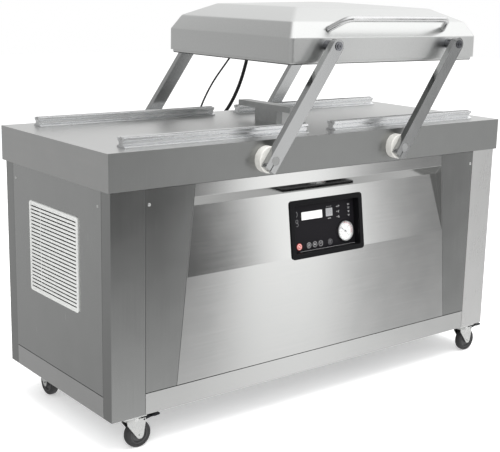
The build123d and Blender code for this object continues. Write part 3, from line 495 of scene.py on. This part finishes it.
def spread(name, template, places, material, size=1.0):
    """Copies of a template; places are (point in metres, Euler angles)."""
    mesh = bpy.data.meshes.new(name)
    mesh.from_pydata([point for point, angles in places], [], [])
    turns = mesh.attributes.new("turn", "FLOAT_VECTOR", "POINT")
    turns.data.foreach_set("vector", [value for point, angles in places for value in angles])
    piece = bpy.data.objects.new(name, mesh)
    bpy.context.scene.collection.objects.link(piece)
    run_tree(piece, SPREAD, {"Template": template, "Size": size, "Finish": material})
    bpy.data.objects.remove(template)
    return piece


SCREW_PROFILE = ((4.4, 0.0), (4.4, 0.7), (3.9, 1.4), (2.6, 1.9), (0.4, 2.0))
RECESS_REACH, RECESS_HALF = 2.1, 0.45


def ring(radius, height, sides):
    """Points of a level circle round z, from millimetres."""
    return [(radius * MM * math.cos(math.tau * k / sides), radius * MM * math.sin(math.tau * k / sides),
             height * MM) for k in range(sides)]


def cross_screw(name):
    """Pan-head screw with a cross recess."""
    head = skinned(name, [ring(radius, height, 20) for radius, height in SCREW_PROFILE], zinc)
    quarter = ((RECESS_REACH, -RECESS_HALF), (RECESS_REACH, RECESS_HALF), (RECESS_HALF, RECESS_HALF))
    outline = []
    for c, s in ((1, 0), (0, 1), (-1, 0), (0, -1)):
        outline += [(c * x - s * y, s * x + c * y) for x, y in quarter]
    tool = skinned(name + "_cut", [[(x * MM, y * MM, z * MM) for x, y in outline] for z in (1.2, 2.8)], zinc)
    cut = head.modifiers.new("recess", "BOOLEAN")
    cut.operation = "DIFFERENCE"
    cut.object = tool
    settle(head)
    bpy.data.objects.remove(tool)
    return head


def facing(direction):
    """Euler angles that turn +z to a direction."""
    return tuple(Vector(direction).to_track_quat("Z", "Y").to_euler())


WING_SCREW = (617.0 * MM, 660.0 * MM)  # x and z
SIDE_SCREW = (232.0 * MM, 657.0 * MM)  # y and z


def screw_places():
    """The six panel screws: one in each front wing, two in each side skin."""
    front_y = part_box("front_fascia")[0].y
    side_x = -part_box("left_side_panel")[0].x
    places = []
    for sign in (-1, 1):
        places.append(((sign * WING_SCREW[0], front_y, WING_SCREW[1]), facing((0, -1, 0))))
        for y in (-SIDE_SCREW[0], SIDE_SCREW[0]):
            places.append(((sign * side_x, y, SIDE_SCREW[1]), facing((sign, 0, 0))))
    return places


panel_screws = spread("panel_screws_finished", cross_screw("screw"), screw_places(), zinc)
fit_out(panel_screws, "cabinet", "zinc", "panel_screws")


# ---- vent grille: moulded frame with round-ended louvres ----

def vent_grille():
    """Outer frame with a stepped border round the louvres' mouth."""
    low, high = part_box("vent_grilles")
    centre = (low + high) / 2
    half_y, half_z = (high.y - low.y) / 2, (high.z - low.z) / 2
    steps = [(0.0, high.x, 8), (0.0, low.x + 1.2 * MM, 8), (1.0 * MM, low.x, 7.5),
             (6.0 * MM, low.x, 5), (6.8 * MM, low.x + 1.0 * MM, 4.5), (6.8 * MM, high.x, 4.5)]
    rings = []
    for inset, x, radius in steps:
        outline = rounded_outline(half_y - inset, half_z - inset, radius * MM)
        rings.append([(x, centre.y + y, centre.z + z) for y, z in outline])
    rim = skinned("vent_frame", rings, grille_grey, closed=True)
    fit_out(rim, "cabinet", "grille_plastic", "vent_grilles")
    return low, high, centre


def louvre(length, height, depth):
    """One slat: a rounded bar that narrows to round ends."""
    rings = []
    count = 10
    ends = 5
    for k in range(-ends, ends + 1):
        side = k / ends
        reach = math.copysign(length / 2 - height * (1 - abs(side)) ** 2 * 1.2, side)
        fullness = max(0.12, math.sqrt(max(0.0, 1 - max(0.0, abs(side) - 0.6) ** 2 / 0.16)))
        y = reach if abs(side) > 0.55 else side / 0.6 * (length / 2 - height)
        angles = [math.tau * j / count for j in range(count)]
        rings.append([(depth / 2 * math.cos(angle) * fullness, y, height / 2 * math.sin(angle) * fullness)
                      for angle in angles])
    return skinned("louvre", rings, grille_grey)


vent_low, vent_high, vent_centre = vent_grille()
SLAT_PITCH = 10.5 * MM
slat_count = int((vent_high.z - vent_low.z - 14 * MM) / SLAT_PITCH) + 1
slat = louvre(vent_high.y - vent_low.y - 15 * MM, 7.4 * MM, 3.4 * MM)
slats = bpy.data.objects.new("vent_louvres", bpy.data.meshes.new("vent_louvres"))
bpy.context.scene.collection.objects.link(slats)
run_tree(slats, ROW, {"Template": slat, "Count": slat_count, "Step": (0, 0, SLAT_PITCH),
                      "First": (vent_centre.x - 0.2 * MM, vent_centre.y,
                                vent_centre.z - (slat_count - 1) * SLAT_PITCH / 2),
                      "Finish": grille_grey})
bpy.data.objects.remove(slat)
fit_out(slats, "cabinet", "grille_plastic")


# =====================================================================
# Control panel. Its own axes: x to the right, y up the slope, z out of the panel
# =====================================================================

OUT = -Vector(JOINTS["key_stop_press"]["axis"])
RIGHT = Vector((1, 0, 0))
UP = OUT.cross(RIGHT)
bezel_x = span("control_bezel", RIGHT)
bezel_up = span("control_bezel", UP)
plate_out = span("keypad_plate", OUT)[1]
CONTROLS = Matrix((RIGHT, UP, OUT)).transposed().to_4x4()
CONTROLS.translation = (RIGHT * sum(bezel_x) / 2 + UP * sum(bezel_up) / 2 + OUT * plate_out)


def on_panel(x, y, z=0.0):
    """A point of the keypad's face, given in millimetres, in the shared frame."""
    return CONTROLS @ Vector((x * MM, y * MM, z * MM))


def flat_shape(work, outline, z0, z1):
    """Thin solid of an outline on the keypad, in millimetres."""
    low = [work.verts.new(on_panel(x, y, z0)) for x, y in outline]
    high = [work.verts.new(on_panel(x, y, z1)) for x, y in outline]
    work.faces.new(high)
    work.faces.new(reversed(low))
    bridge(work, [low, high])


def disc_outline(x, y, radius, sides):
    return [(x + radius * math.cos(math.tau * k / sides), y + radius * math.sin(math.tau * k / sides))
            for k in range(sides)]


def bar_outline(x, y, width, height, angle=0.0):
    """Corners of a bar turned by an angle in degrees."""
    c, s = math.cos(math.radians(angle)), math.sin(math.radians(angle))
    corners = ((-width / 2, -height / 2), (width / 2, -height / 2), (width / 2, height / 2),
               (-width / 2, height / 2))
    return [(x + c * a - s * b, y + s * a + c * b) for a, b in corners]


def ring_shape(work, x, y, outer, inner, z0, z1, start=0.0, sweep=360.0, sides=32):
    """Flat ring or arc of a ring, as short solid segments joined end to end."""
    closed = sweep >= 360
    count = sides if closed else sides + 1
    sections = []
    for k in range(count):
        angle = math.radians(start + sweep * k / sides)
        c, s = math.cos(angle), math.sin(angle)
        sections.append([work.verts.new(on_panel(x + r * c, y + r * s, z))
                         for r, z in ((inner, z0), (outer, z0), (outer, z1), (inner, z1))])
    bridge(work, sections, closed)
    if not closed:
        work.faces.new(sections[0])
        work.faces.new(reversed(sections[-1]))


PRINT = 0.12


def printed(name, draw, material, body="cabinet", base=0.0, slot="keypad_film", height=PRINT):
    """A print layer: draw(work, z0, z1) adds its shapes."""
    work = bmesh.new()
    draw(work, base, base + height)
    bmesh.ops.recalc_face_normals(work, faces=work.faces)
    return fit_out(new_piece(name, work, material), body, slot)


# (x, y, half width, half height, corner radius, corner steps) on the keypad
PLATE = (-40.5, 34.5, 40.0, 11.5, 1.5, 3)
DISPLAY = (27.5, 35.5, 13.0, 12.0, 1.0, 2)
DIGITS_X = (22.0, 33.0)
# (x, y, width, height) of the seven bars round a digit's centre
SEGMENTS = ((0, 6.6, 4.2, 1.1), (0, 0, 4.2, 1.1), (0, -6.6, 4.2, 1.1), (-2.9, 3.3, 1.1, 5.0),
            (2.9, 3.3, 1.1, 5.0), (-2.9, -3.3, 1.1, 5.0), (2.9, -3.3, 1.1, 5.0))


def window(x, y, *shape):
    """Draws a rounded rectangle round a point of the keypad."""
    def draw(work, z0, z1):
        flat_shape(work, [(x + dx, y + dy) for dx, dy in rounded_outline(*shape)], z0, z1)
    return draw


def display_digits(work, z0, z1):
    """Two unlit seven-segment digits."""
    for digit_x in DIGITS_X:
        for x, y, width, height in SEGMENTS:
            flat_shape(work, bar_outline(digit_x + x, DISPLAY[1] + y, width, height), z0, z1)


def indicator_icons(work, z0, z1):
    """Two columns of small generic pictograms, lamp dots by the first, marks round the display."""
    for row, y in enumerate((48.5, 33.5, 18.0)):
        flat_shape(work, disc_outline(58.5, y, 1.3, 12), z0, z1)
        ring_shape(work, 66.0, y, 3.4, 2.4, z0, z1, 40 * row, 250, 14)
        flat_shape(work, bar_outline(66.0, y, 3.2, 1.0, 35 * row), z0, z1)
    for row, y in enumerate((50.5, 40.0, 29.0, 17.5)):
        flat_shape(work, bar_outline(106.0, y + 1.6, 8.0, 1.1), z0, z1)
        flat_shape(work, bar_outline(106.0, y - 1.6, 8.0 - 1.5 * row, 1.1), z0, z1)
        flat_shape(work, bar_outline(104.0 + row, y, 1.1, 3.4), z0, z1)
    for x in (23.0, 27.5, 32.0):
        flat_shape(work, bar_outline(x, 17.0, 3.0, 2.0), z0, z1)
    for x in (20.0, 28.0, 35.0):
        flat_shape(work, bar_outline(x, 52.5, 2.2, 1.6), z0, z1)


def left_icons(work, z0, z1):
    """Bag and valve pictograms near the left edge."""
    ring_shape(work, -104.0, 42.0, 9.0, 7.6, z0, z1, -65, 130, 18)
    ring_shape(work, -99.0, 21.5, 5.0, 3.8, z0, z1)
    ring_shape(work, -99.0, 11.5, 5.4, 4.2, z0, z1, -120, 240, 20)


def lower_line(work, z0, z1):
    """Thin border line along the keypad's lower edge."""
    flat_shape(work, bar_outline(17.0, -68.5, 216.0, 0.8), z0, z1)


printed("blank_plate", window(*PLATE), plate_white, height=0.6)
printed("display_window", window(*DISPLAY), display_grey, height=0.3)
printed("display_digits", display_digits, print_dim, base=0.3)
printed("indicator_icons", indicator_icons, print_grey)
printed("left_icons", left_icons, print_dim)
printed("lower_line", lower_line, print_grey)


# bars of each key's pictogram: x and y from the key's centre, width, height and angle
KEY_BARS = {"key_stop": ((0, 2.2, 8.0, 1.3, 0), (0, -2.2, 8.0, 1.3, 0)),
            "key_set": ((-1.6, 0, 1.5, 8.0, -18), (2.0, 0, 1.5, 8.0, 18)),
            "key_plus": (),
            "key_minus": ((0.6, 0.6, 6.2, 1.6, 8),),
            "key_pump": ((0, 0, 1.3, 9.0, 30), (0, 0, 1.3, 9.0, -30))}


def key_icon(name, x, y):
    """Rim ring and pictogram of a key, each different."""
    def draw(work, z0, z1):
        ring_shape(work, x, y, 8.1, 7.0, z0, z1)
        for dx, dy, width, height, angle in KEY_BARS[name]:
            flat_shape(work, bar_outline(x + dx, y + dy, width, height, angle), z0, z1)
        if name == "key_plus":
            flat_shape(work, disc_outline(x, y, 2.6, 16), z0, z1)
        if name == "key_pump":
            ring_shape(work, x, y, 4.6, 3.4, z0, z1, 20, 300, 18)
    return draw


ICON_FINISH = {"key_stop": plate_white, "key_pump": print_dim}

for name in KEY_BARS:
    low_x, high_x = span(name, RIGHT)
    low_up, high_up = span(name, UP)
    top = (span(name, OUT)[1] - plate_out) / MM
    centre = CONTROLS.inverted() @ (RIGHT * (low_x + high_x) / 2 + UP * (low_up + high_up) / 2)
    dressed(name, key_red if name == "key_stop" else key_dark, 0.3)
    printed(name + "_icon", key_icon(name, centre.x / MM, centre.y / MM), ICON_FINISH.get(name, print_grey),
            name, top, SLOT_OF[name])

# ---- vacuum gauge ----

gauge_local = CONTROLS.inverted() @ Vector(JOINTS["gauge_needle_turn"]["pos_m"]) / MM
GX, GY, DIAL = gauge_local.x, gauge_local.y, gauge_local.z
ring_out = (span("gauge_case", OUT)[1] - plate_out) / MM
gauge_reach = (span("gauge_case", RIGHT)[1] - span("gauge_case", RIGHT)[0]) / 2 / MM
GAUGE_SIDES = 56
BARREL_REACH = 27.0


def lathe_on_panel(name, profile, material, *nodes):
    """Shape turned round the gauge's axis from (radius, height) pairs, closed on itself."""
    angles = [math.tau * k / GAUGE_SIDES for k in range(GAUGE_SIDES)]
    rings = [[on_panel(GX + r * math.cos(angle), GY + r * math.sin(angle), z) for r, z in profile]
             for angle in angles]
    return fit_out(skinned(name, rings, material, closed=True), "cabinet", "gauge_dial", *nodes)


lathe_on_panel("gauge_ring", [(gauge_reach - 5.0, 0.0), (gauge_reach, 0.0), (gauge_reach, ring_out - 1.2),
                              (gauge_reach - 1.2, ring_out), (gauge_reach - 3.0, ring_out),
                              (gauge_reach - 3.6, ring_out - 0.6), (gauge_reach - 3.6, 0.8)], steel_inside)
lathe_on_panel("gauge_barrel", [(0.2, -24.0), (BARREL_REACH - 1, -24.0), (BARREL_REACH, -23.0),
                                (BARREL_REACH, 0.4), (gauge_reach - 3.7, 0.4), (gauge_reach - 3.7, DIAL),
                                (0.2, DIAL)], dial_white, "gauge_case")


TICKS = 31


def dial_scale(work, z0, z1):
    """Ticks round three quarters of the dial, long at every fifth, and marks inside them."""
    for k in range(TICKS):
        angle = -45 + 270 * k / (TICKS - 1)
        major = k % 5 == 0
        inner, outer = (18.5, 22.5) if major else (20.5, 22.5)
        middle = (inner + outer) / 2
        x = GX + middle * math.cos(math.radians(angle))
        y = GY + middle * math.sin(math.radians(angle))
        flat_shape(work, bar_outline(x, y, outer - inner, 1.3 if major else 0.7, angle), z0, z1)
    for k in range(7):
        angle = math.radians(-45 + 45 * k)
        x, y = GX + 14.5 * math.cos(angle), GY + 14.5 * math.sin(angle)
        flat_shape(work, bar_outline(x, y, 1.1, 3.2), z0, z1)


def dial_arc(work, z0, z1):
    """Red band over the working part of the scale."""
    ring_shape(work, GX, GY, 26.2, 24.2, z0, z1, -20, 125, 30)


printed("dial_scale", dial_scale, dial_black, base=DIAL, slot="gauge_dial", height=0.1)
printed("dial_arc", dial_arc, dial_red, base=DIAL, slot="gauge_dial", height=0.1)


# =====================================================================
# Lid
# =====================================================================

shell_low, shell_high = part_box("lid_shell")
LID = (shell_low + shell_high) / 2
LID_HALF_X = (shell_high.x - shell_low.x) / 2
LID_HALF_Y = (shell_high.y - shell_low.y) / 2
LID_BASE = shell_low.z
WALL = 3.0 * MM
# (inset, rise) of the folds, in millimetres: skirt, first bevel, second bevel, crown
FOLDS = ((0.0, 0.0), (0.0, 64.0), (25.0, 107.0), (105.0, 145.0))
FOLD_RADIUS = (0.0, 9.0, 12.0, 14.0)
CROWN_RISE = 157.5
CROWN_HALF = 30.0


def softened(points, radii, steps=5):
    """Rounds the corners of an open (inset, rise) line with arcs."""
    line = [Vector(points[0])]
    for before, corner, after, radius in zip(points, points[1:], points[2:], radii[1:]):
        corner = Vector(corner)
        back = (Vector(before) - corner).normalized()
        ahead = (Vector(after) - corner).normalized()
        half = math.acos(max(-1.0, min(1.0, back.dot(ahead)))) / 2
        reach = radius / math.tan(half)
        middle = (back + ahead).normalized()
        hub = corner + middle * (radius / math.sin(half))
        first = corner + back * reach - hub
        last = corner + ahead * reach - hub
        turn = first.angle_signed(last)
        for k in range(steps + 1):
            angle = -turn * k / steps
            c, s = math.cos(angle), math.sin(angle)
            line.append(hub + Vector((c * first.x - s * first.y, s * first.x + c * first.y)))
    line.append(Vector(points[-1]))
    return line


def lid_rings(wall):
    """Rings of the hood from the rim up to the crown; wall shrinks it evenly."""
    points = [*FOLDS, (FOLDS[-1][0] + 60, FOLDS[-1][1] + 3.6)]
    rings = []
    for index, (inset, rise) in enumerate(softened(points, FOLD_RADIUS)):
        shrink = inset * MM + wall
        drop = wall * min(1.0, index / 6)
        radius = max(13.0 - inset * 0.04, 6.0) * MM
        outline = rounded_outline(LID_HALF_X - shrink, LID_HALF_Y - shrink, radius)
        rings.append([(LID.x + x, LID.y + y, LID_BASE + rise * MM - drop) for x, y in outline])
    outline = rounded_outline(CROWN_HALF * MM, CROWN_HALF * MM, 10 * MM)
    rings.append([(LID.x + x, LID.y + y, LID_BASE + CROWN_RISE * MM - wall) for x, y in outline])
    return rings


LIP = 13.0  # width of the rim's inward fold
LIP_SHEET = 2.5  # its thickness


def lid_shell():
    """Pressed hood with an inner face and a folded rim, as one closed skin."""
    lip = []
    for inset, radius, rise in ((LIP, 6, 0.0), (LIP, 6, LIP_SHEET), (WALL / MM, 12, LIP_SHEET)):
        outline = rounded_outline(LID_HALF_X - inset * MM, LID_HALF_Y - inset * MM, radius * MM)
        lip.append([(LID.x + x, LID.y + y, LID_BASE + rise * MM) for x, y in outline])
    rings = list(reversed(lid_rings(0.0))) + lip + lid_rings(WALL)[1:]
    fit_out(skinned("lid_hood", rings, steel_lid, 26), "lid", "stainless_lid", "lid_shell")


lid_shell()

# (inset in millimetres, share of the height) round each section, from the outside in
SEAL_SECTION = ((1.6, 1.0), (1.6, 0.62), (1.6, 0.30), (1.8, 0.08), (2.4, 0.0), (3.8, 0.05), (4.5, 0.22),
                (5.2, 0.05), (6.6, 0.0), (8.0, 0.08), (8.6, 0.30), (9.0, 0.62), (9.0, 1.0))
CHANNEL_SECTION = ((0.2, 1.0), (0.0, 0.95), (0.0, 0.32), (0.3, 0.26), (1.2, 0.26), (1.5, 0.32), (1.5, 1.0))


def round_the_rim(name, section, material, slot, *nodes):
    """A section carried round the lid's rim."""
    low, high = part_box("lid_gasket")
    centre = (low + high) / 2
    half = (high - low) / 2
    rings = []
    for inset, height in section:
        outline = rounded_outline(half.x - inset * MM, half.y - inset * MM, (14.0 - inset) * MM)
        rings.append([(centre.x + x, centre.y + y, low.z + height * 2 * half.z) for x, y in outline])
    return fit_out(skinned(name, rings, material, 50, closed=True), "lid", slot, *nodes)


round_the_rim("lid_seal", SEAL_SECTION, seal_rubber, "black_rubber", "lid_gasket")
round_the_rim("seal_channel", CHANNEL_SECTION, steel_lid, "stainless_lid")


def arc_line(points, radius, steps=8):
    """A route of straight runs joined by round bends of one radius."""
    line = [Vector(points[0])]
    for before, corner, after in zip(points, points[1:], points[2:]):
        before, corner, after = Vector(before), Vector(corner), Vector(after)
        back, ahead = (before - corner).normalized(), (after - corner).normalized()
        half = back.angle(ahead) / 2
        reach = radius / math.tan(half)
        hub = corner + (back + ahead).normalized() * (radius / math.sin(half))
        first, last = corner + back * reach - hub, corner + ahead * reach - hub
        for k in range(steps + 1):
            line.append(hub + first.normalized().slerp(last.normalized(), k / steps) * radius)
    line.append(Vector(points[-1]))
    return line


def round_tube(name, line, radius, material, sides=20):
    """Closed round bar along a line, its rings square to the line."""
    rings = []
    normal = (line[1] - line[0]).orthogonal().normalized()
    angles = [math.tau * j / sides for j in range(sides)]
    for k, point in enumerate(line):
        before, after = line[max(k - 1, 0)], line[min(k + 1, len(line) - 1)]
        along = (after - before).normalized()
        normal = (normal - along * normal.dot(along)).normalized()
        across = along.cross(normal)
        rings.append([point + radius * (math.cos(angle) * normal + math.sin(angle) * across)
                      for angle in angles])
    return skinned(name, rings, material)


HANDLE_RADIUS = 9.0 * MM
HANDLE_HALF, FOOT_HALF = 207 * MM, 238 * MM
FOOT_RISE, FOOT_REACH = 86 * MM, 284 * MM
WELD_TILT = Matrix.Rotation(math.radians(-60), 4, "X")


def lid_handle():
    """Bent stainless tube with a weld bead round each foot."""
    low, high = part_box("lid_handle")
    bar_y, bar_z = low.y + HANDLE_RADIUS, high.z - HANDLE_RADIUS
    foot_y, foot_z = LID.y - FOOT_REACH, LID_BASE + FOOT_RISE
    corners = [(LID.x - FOOT_HALF, foot_y, foot_z), (LID.x - HANDLE_HALF, bar_y, bar_z),
               (LID.x + HANDLE_HALF, bar_y, bar_z), (LID.x + FOOT_HALF, foot_y, foot_z)]
    tube = round_tube("handle_tube", arc_line(corners, 34 * MM, 10), HANDLE_RADIUS, steel_tube, 24)
    fit_out(tube, "lid", "stainless", "lid_handle")
    for side, foot in (("left", corners[0]), ("right", corners[3])):
        bead = []
        for k in range(33):
            angle = math.tau * k / 32
            circle = Vector((math.cos(angle), math.sin(angle) * 1.05, 0.0)) * (HANDLE_RADIUS + 0.8 * MM)
            wobble = 1 + 0.06 * math.sin(9 * angle)
            bead.append(Vector(foot) + WELD_TILT @ circle * wobble + Vector((0, -1.2 * MM, 1.0 * MM)))
        fit_out(round_tube("handle_weld_" + side, bead, 1.8 * MM, steel_inside, 8), "lid", "stainless")


lid_handle()


# =====================================================================
# Castors
# =====================================================================

# (radius, height along the axle) of the two moulded parts, in millimetres
TYRE_PROFILE = ((25.5, -10.5), (31.0, -12.0), (33.0, -11.6), (34.6, -10.6), (36.4, -8.4), (37.3, -5.0),
                (37.5, 0.0), (37.3, 5.0), (36.4, 8.4), (34.6, 10.6), (33.0, 11.6), (31.0, 12.0),
                (25.5, 10.5))
CORE_PROFILE = ((4.1, -13.4), (10.0, -13.4), (11.0, -12.6), (11.4, -7.0), (22.0, -6.0), (23.5, -10.0),
                (25.6, -10.6), (25.6, 10.6), (23.5, 10.0), (22.0, 6.0), (11.4, 7.0), (11.0, 12.6),
                (10.0, 13.4), (4.1, 13.4))
WHEEL_SIDES = 48


def castor_wheel(corner):
    """Tyre with a rounded tread and side groove, moulded core with a recessed web."""
    node = "wheel_" + corner
    centre = Vector(JOINTS["roll_" + corner]["pos_m"])
    axle = Vector(JOINTS["roll_" + corner]["axis"])
    up = Vector((0, 0, 1))
    side = up.cross(axle)
    for label, material, profile, nodes in (("tyre", tyre_rubber, TYRE_PROFILE, (node,)),
                                            ("core", wheel_core, CORE_PROFILE, ())):
        rings = []
        for k in range(WHEEL_SIDES):
            angle = math.tau * k / WHEEL_SIDES
            spoke = math.cos(angle) * side + math.sin(angle) * up
            rings.append([centre + spoke * r * MM + axle * h * MM for r, h in profile])
        piece = skinned("castor_" + label + "_" + corner, rings, material, closed=True)
        fit_out(piece, "roller_" + corner, SLOT_OF[node], *nodes)


for corner in CORNER_NAMES:
    castor_wheel(corner)


# =====================================================================
# Hoses between the table and the lid
# =====================================================================

# (x, z) bends of each hose in its own upright plane, in millimetres
CABLE_ROUTE = [(76.0, 754.0), (117.0, 783.0), (151.0, 829.0), (179.0, 883.0), (199.0, 940.0),
               (211.0, 986.0)]
AIR_ROUTE = [(-3.0, 806.0), (22.0, 853.0), (52.0, 897.0), (86.0, 936.0), (119.0, 973.0),
             (143.0, 1002.0)]


def lid_hose(name, body, node, route, reach, diameter):
    """Black hose on one smooth line from the table's swivel to the lid's."""
    pivot = Vector(JOINTS[body + "_swing"]["pos_m"]) / MM
    level = Vector(JOINTS["lid_level"]["pos_m"]) - Vector(JOINTS["lid_swing"]["pos_m"])
    top = pivot + level / MM
    points = [Vector((x, pivot.y, z)) for x, z in route]
    first = pivot + (points[0] - pivot).normalized() * reach
    last = top + (points[-1] - top).normalized() * reach
    points = [first] + points + [last]
    curve = bpy.data.curves.new(name, "CURVE")
    curve.dimensions = "3D"
    curve.bevel_depth = diameter / 2 * MM
    curve.bevel_resolution = 5
    curve.use_fill_caps = True
    curve.resolution_u = 14
    spline = curve.splines.new("NURBS")
    spline.points.add(len(points) - 1)
    for spot, point in zip(spline.points, points):
        spot.co = (*(point * MM), 1.0)
    spline.order_u = 3
    spline.use_endpoint_u = True
    curve.materials.append(hose_black)
    piece = bpy.data.objects.new(name, curve)
    bpy.context.scene.collection.objects.link(piece)
    fit_out(piece, body, "cable_black", node)
    ends = dressed(body + "_swivels", gland_black, 0.8)
    return piece, first * MM, ends


cable, cable_exit, cable_ends = lid_hose("power_cable_line", "power_cable", "lid_power_cable",
                                         CABLE_ROUTE, 30.0, 12.0)
air, air_exit, air_ends = lid_hose("air_hose_line", "air_hose", "lid_air_hose", AIR_ROUTE, 24.0, 6.0)


# =====================================================================
# Studio: pale floor, soft light, camera
# =====================================================================

scene = bpy.context.scene
scene.view_settings.view_transform = "Standard"


FLOOR_REACH = 14.0


def studio_floor():
    """White paper sweep: matt, and lit enough by itself to leave only a soft shadow."""
    material, tree, shader, place = start_material("pale studio floor")
    shader.inputs["Base Color"].default_value = colour("#F4F4F4")
    shader.inputs["Roughness"].default_value = 0.9
    shader.inputs["Emission Color"].default_value = colour("#FFFFFF")
    shader.inputs["Emission Strength"].default_value = 0.3
    mesh = bpy.data.meshes.new("floor")
    reach = FLOOR_REACH
    mesh.from_pydata([(-reach, -reach, 0), (reach, -reach, 0), (reach, reach, 0), (-reach, reach, 0)], [],
                     [(0, 1, 2, 3)])
    mesh.materials.append(material)
    floor = bpy.data.objects.new("floor", mesh)
    scene.collection.objects.link(floor)
    floor.visible_glossy = False


def ramp(tree, value, stops):
    """Colour ramp of grey levels."""
    node = add(tree, "ShaderNodeValToRGB", {"Fac": value})
    elements = node.color_ramp.elements
    while len(elements) < len(stops):
        elements.new(0.5)
    for element, (position, level) in zip(elements, stops):
        element.position = position
        element.color = (level, level, level, 1.0)
    return node.outputs["Color"]


# What the steel mirrors, by compass direction round the machine: 0 is the operator's side,
# 0.25 the right, 0.5 behind, 0.75 the left. One line for what lies below, one level, one above.
LOW_STOPS = ((0.0, 1.0), (0.20, 1.05), (0.40, 0.9), (0.55, 0.40), (0.66, 0.36), (0.80, 0.7), (1.0, 1.0))
LEVEL_STOPS = ((0.0, 0.30), (0.080, 0.13), (0.092, 0.11), (0.1005, 0.35), (0.1045, 1.75), (0.118, 1.70),
               (0.123, 0.75), (0.128, 0.42), (0.137, 0.30), (0.142, 0.60), (0.20, 0.85), (0.33, 1.0),
               (0.42, 1.0), (0.50, 0.60), (0.60, 0.48), (0.68, 0.44), (0.80, 0.45), (1.0, 0.30))
HIGH_STOPS = ((0.0, 1.25), (0.13, 1.45), (0.25, 1.35), (0.37, 1.05), (0.45, 0.85), (0.51, 0.70),
              (0.57, 0.48), (0.63, 0.45), (0.75, 0.60), (0.90, 1.1), (1.0, 1.25))


def step_between(tree, value, low, high):
    """0 below low, 1 above high, smooth between."""
    return add(tree, "ShaderNodeMapRange", {"Value": value, "From Min": low, "From Max": high},
               interpolation_type="SMOOTHSTEP").outputs["Result"]


def blend(tree, factor, first, second):
    mixed = add(tree, "ShaderNodeMix", {"Factor": factor}, data_type="RGBA")
    tree.links.new(first, mixed.inputs[6])
    tree.links.new(second, mixed.inputs[7])
    return mixed.outputs[2]


def studio_world():
    """Grey room with soft boxes for the steel to mirror, even white fill and a white backdrop."""
    world = bpy.data.worlds.new("studio")
    world.use_nodes = True
    tree = world.node_tree
    tree.nodes.clear()
    direction = add(tree, "ShaderNodeTexCoord").outputs["Generated"]
    parts = add(tree, "ShaderNodeSeparateXYZ", {"Vector": direction}).outputs
    ahead = add(tree, "ShaderNodeMath", {0: parts["Y"], 1: -1.0}, operation="MULTIPLY").outputs[0]
    angle = add(tree, "ShaderNodeMath", {0: parts["X"], 1: ahead}, operation="ARCTAN2").outputs[0]
    share = add(tree, "ShaderNodeMath", {0: angle, 1: 1 / math.tau}, operation="MULTIPLY").outputs[0]
    turn = add(tree, "ShaderNodeMath", {0: share}, operation="FRACT").outputs[0]
    level = blend(tree, step_between(tree, parts["Z"], -0.50, -0.15), ramp(tree, turn, LOW_STOPS),
                  ramp(tree, turn, LEVEL_STOPS))
    room_colour = blend(tree, step_between(tree, parts["Z"], 0.16, 0.46), level,
                        ramp(tree, turn, HIGH_STOPS))
    room = add(tree, "ShaderNodeBackground", {"Color": room_colour}).outputs[0]
    white = add(tree, "ShaderNodeBackground", {"Color": (1.0, 1.0, 1.0, 1.0)}).outputs[0]
    path = add(tree, "ShaderNodeLightPath").outputs
    mirrored = add(tree, "ShaderNodeMixShader", {"Fac": path["Is Glossy Ray"]})
    tree.links.new(white, mirrored.inputs[1])
    tree.links.new(room, mirrored.inputs[2])
    output = add(tree, "ShaderNodeOutputWorld")
    tree.links.new(mirrored.outputs[0], output.inputs["Surface"])
    scene.world = world


def soft_light(name, place, aim, size, power):
    data = bpy.data.lights.new(name, "AREA")
    data.size = size
    data.energy = power
    light = bpy.data.objects.new(name, data)
    light.location = place
    light.rotation_euler = (Vector(aim) - Vector(place)).to_track_quat("-Z", "Y").to_euler()
    light.visible_glossy = False
    scene.collection.objects.link(light)


CAMERA_PLACE = (-1.97624, -2.44211, 1.19669)
AZIMUTH, DROP, ROLL = math.radians(39.534), math.radians(12.465), math.radians(1.567)
LENS, FILM = 73.557, 36.0
SHIFT_X, SHIFT_Y = -0.0511, -0.0194


def set_camera():
    """Camera on the operator's left, looking a little down on the machine."""
    level = Vector((math.sin(AZIMUTH), math.cos(AZIMUTH), 0))
    forward = level * math.cos(DROP) - Vector((0, 0, math.sin(DROP)))
    right = Vector((math.cos(AZIMUTH), -math.sin(AZIMUTH), 0))
    up = right.cross(forward)
    turned_right = math.cos(ROLL) * right + math.sin(ROLL) * up
    turned_up = math.cos(ROLL) * up - math.sin(ROLL) * right
    data = bpy.data.cameras.new("camera")
    data.lens = LENS
    data.sensor_width = FILM
    data.shift_x = SHIFT_X
    data.shift_y = SHIFT_Y
    camera = bpy.data.objects.new("camera", data)
    place = Matrix((turned_right, turned_up, -forward)).transposed().to_4x4()
    place.translation = CAMERA_PLACE
    camera.matrix_world = place
    scene.collection.objects.link(camera)
    scene.camera = camera


studio_floor()
studio_world()
soft_light("overhead soft box", (0.3, -0.6, 3.6), (0.0, 0.0, 0.8), 3.0, 120)
soft_light("front soft box", (-2.4, -2.8, 2.2), (0.0, 0.0, 0.6), 1.6, 45)
set_camera()
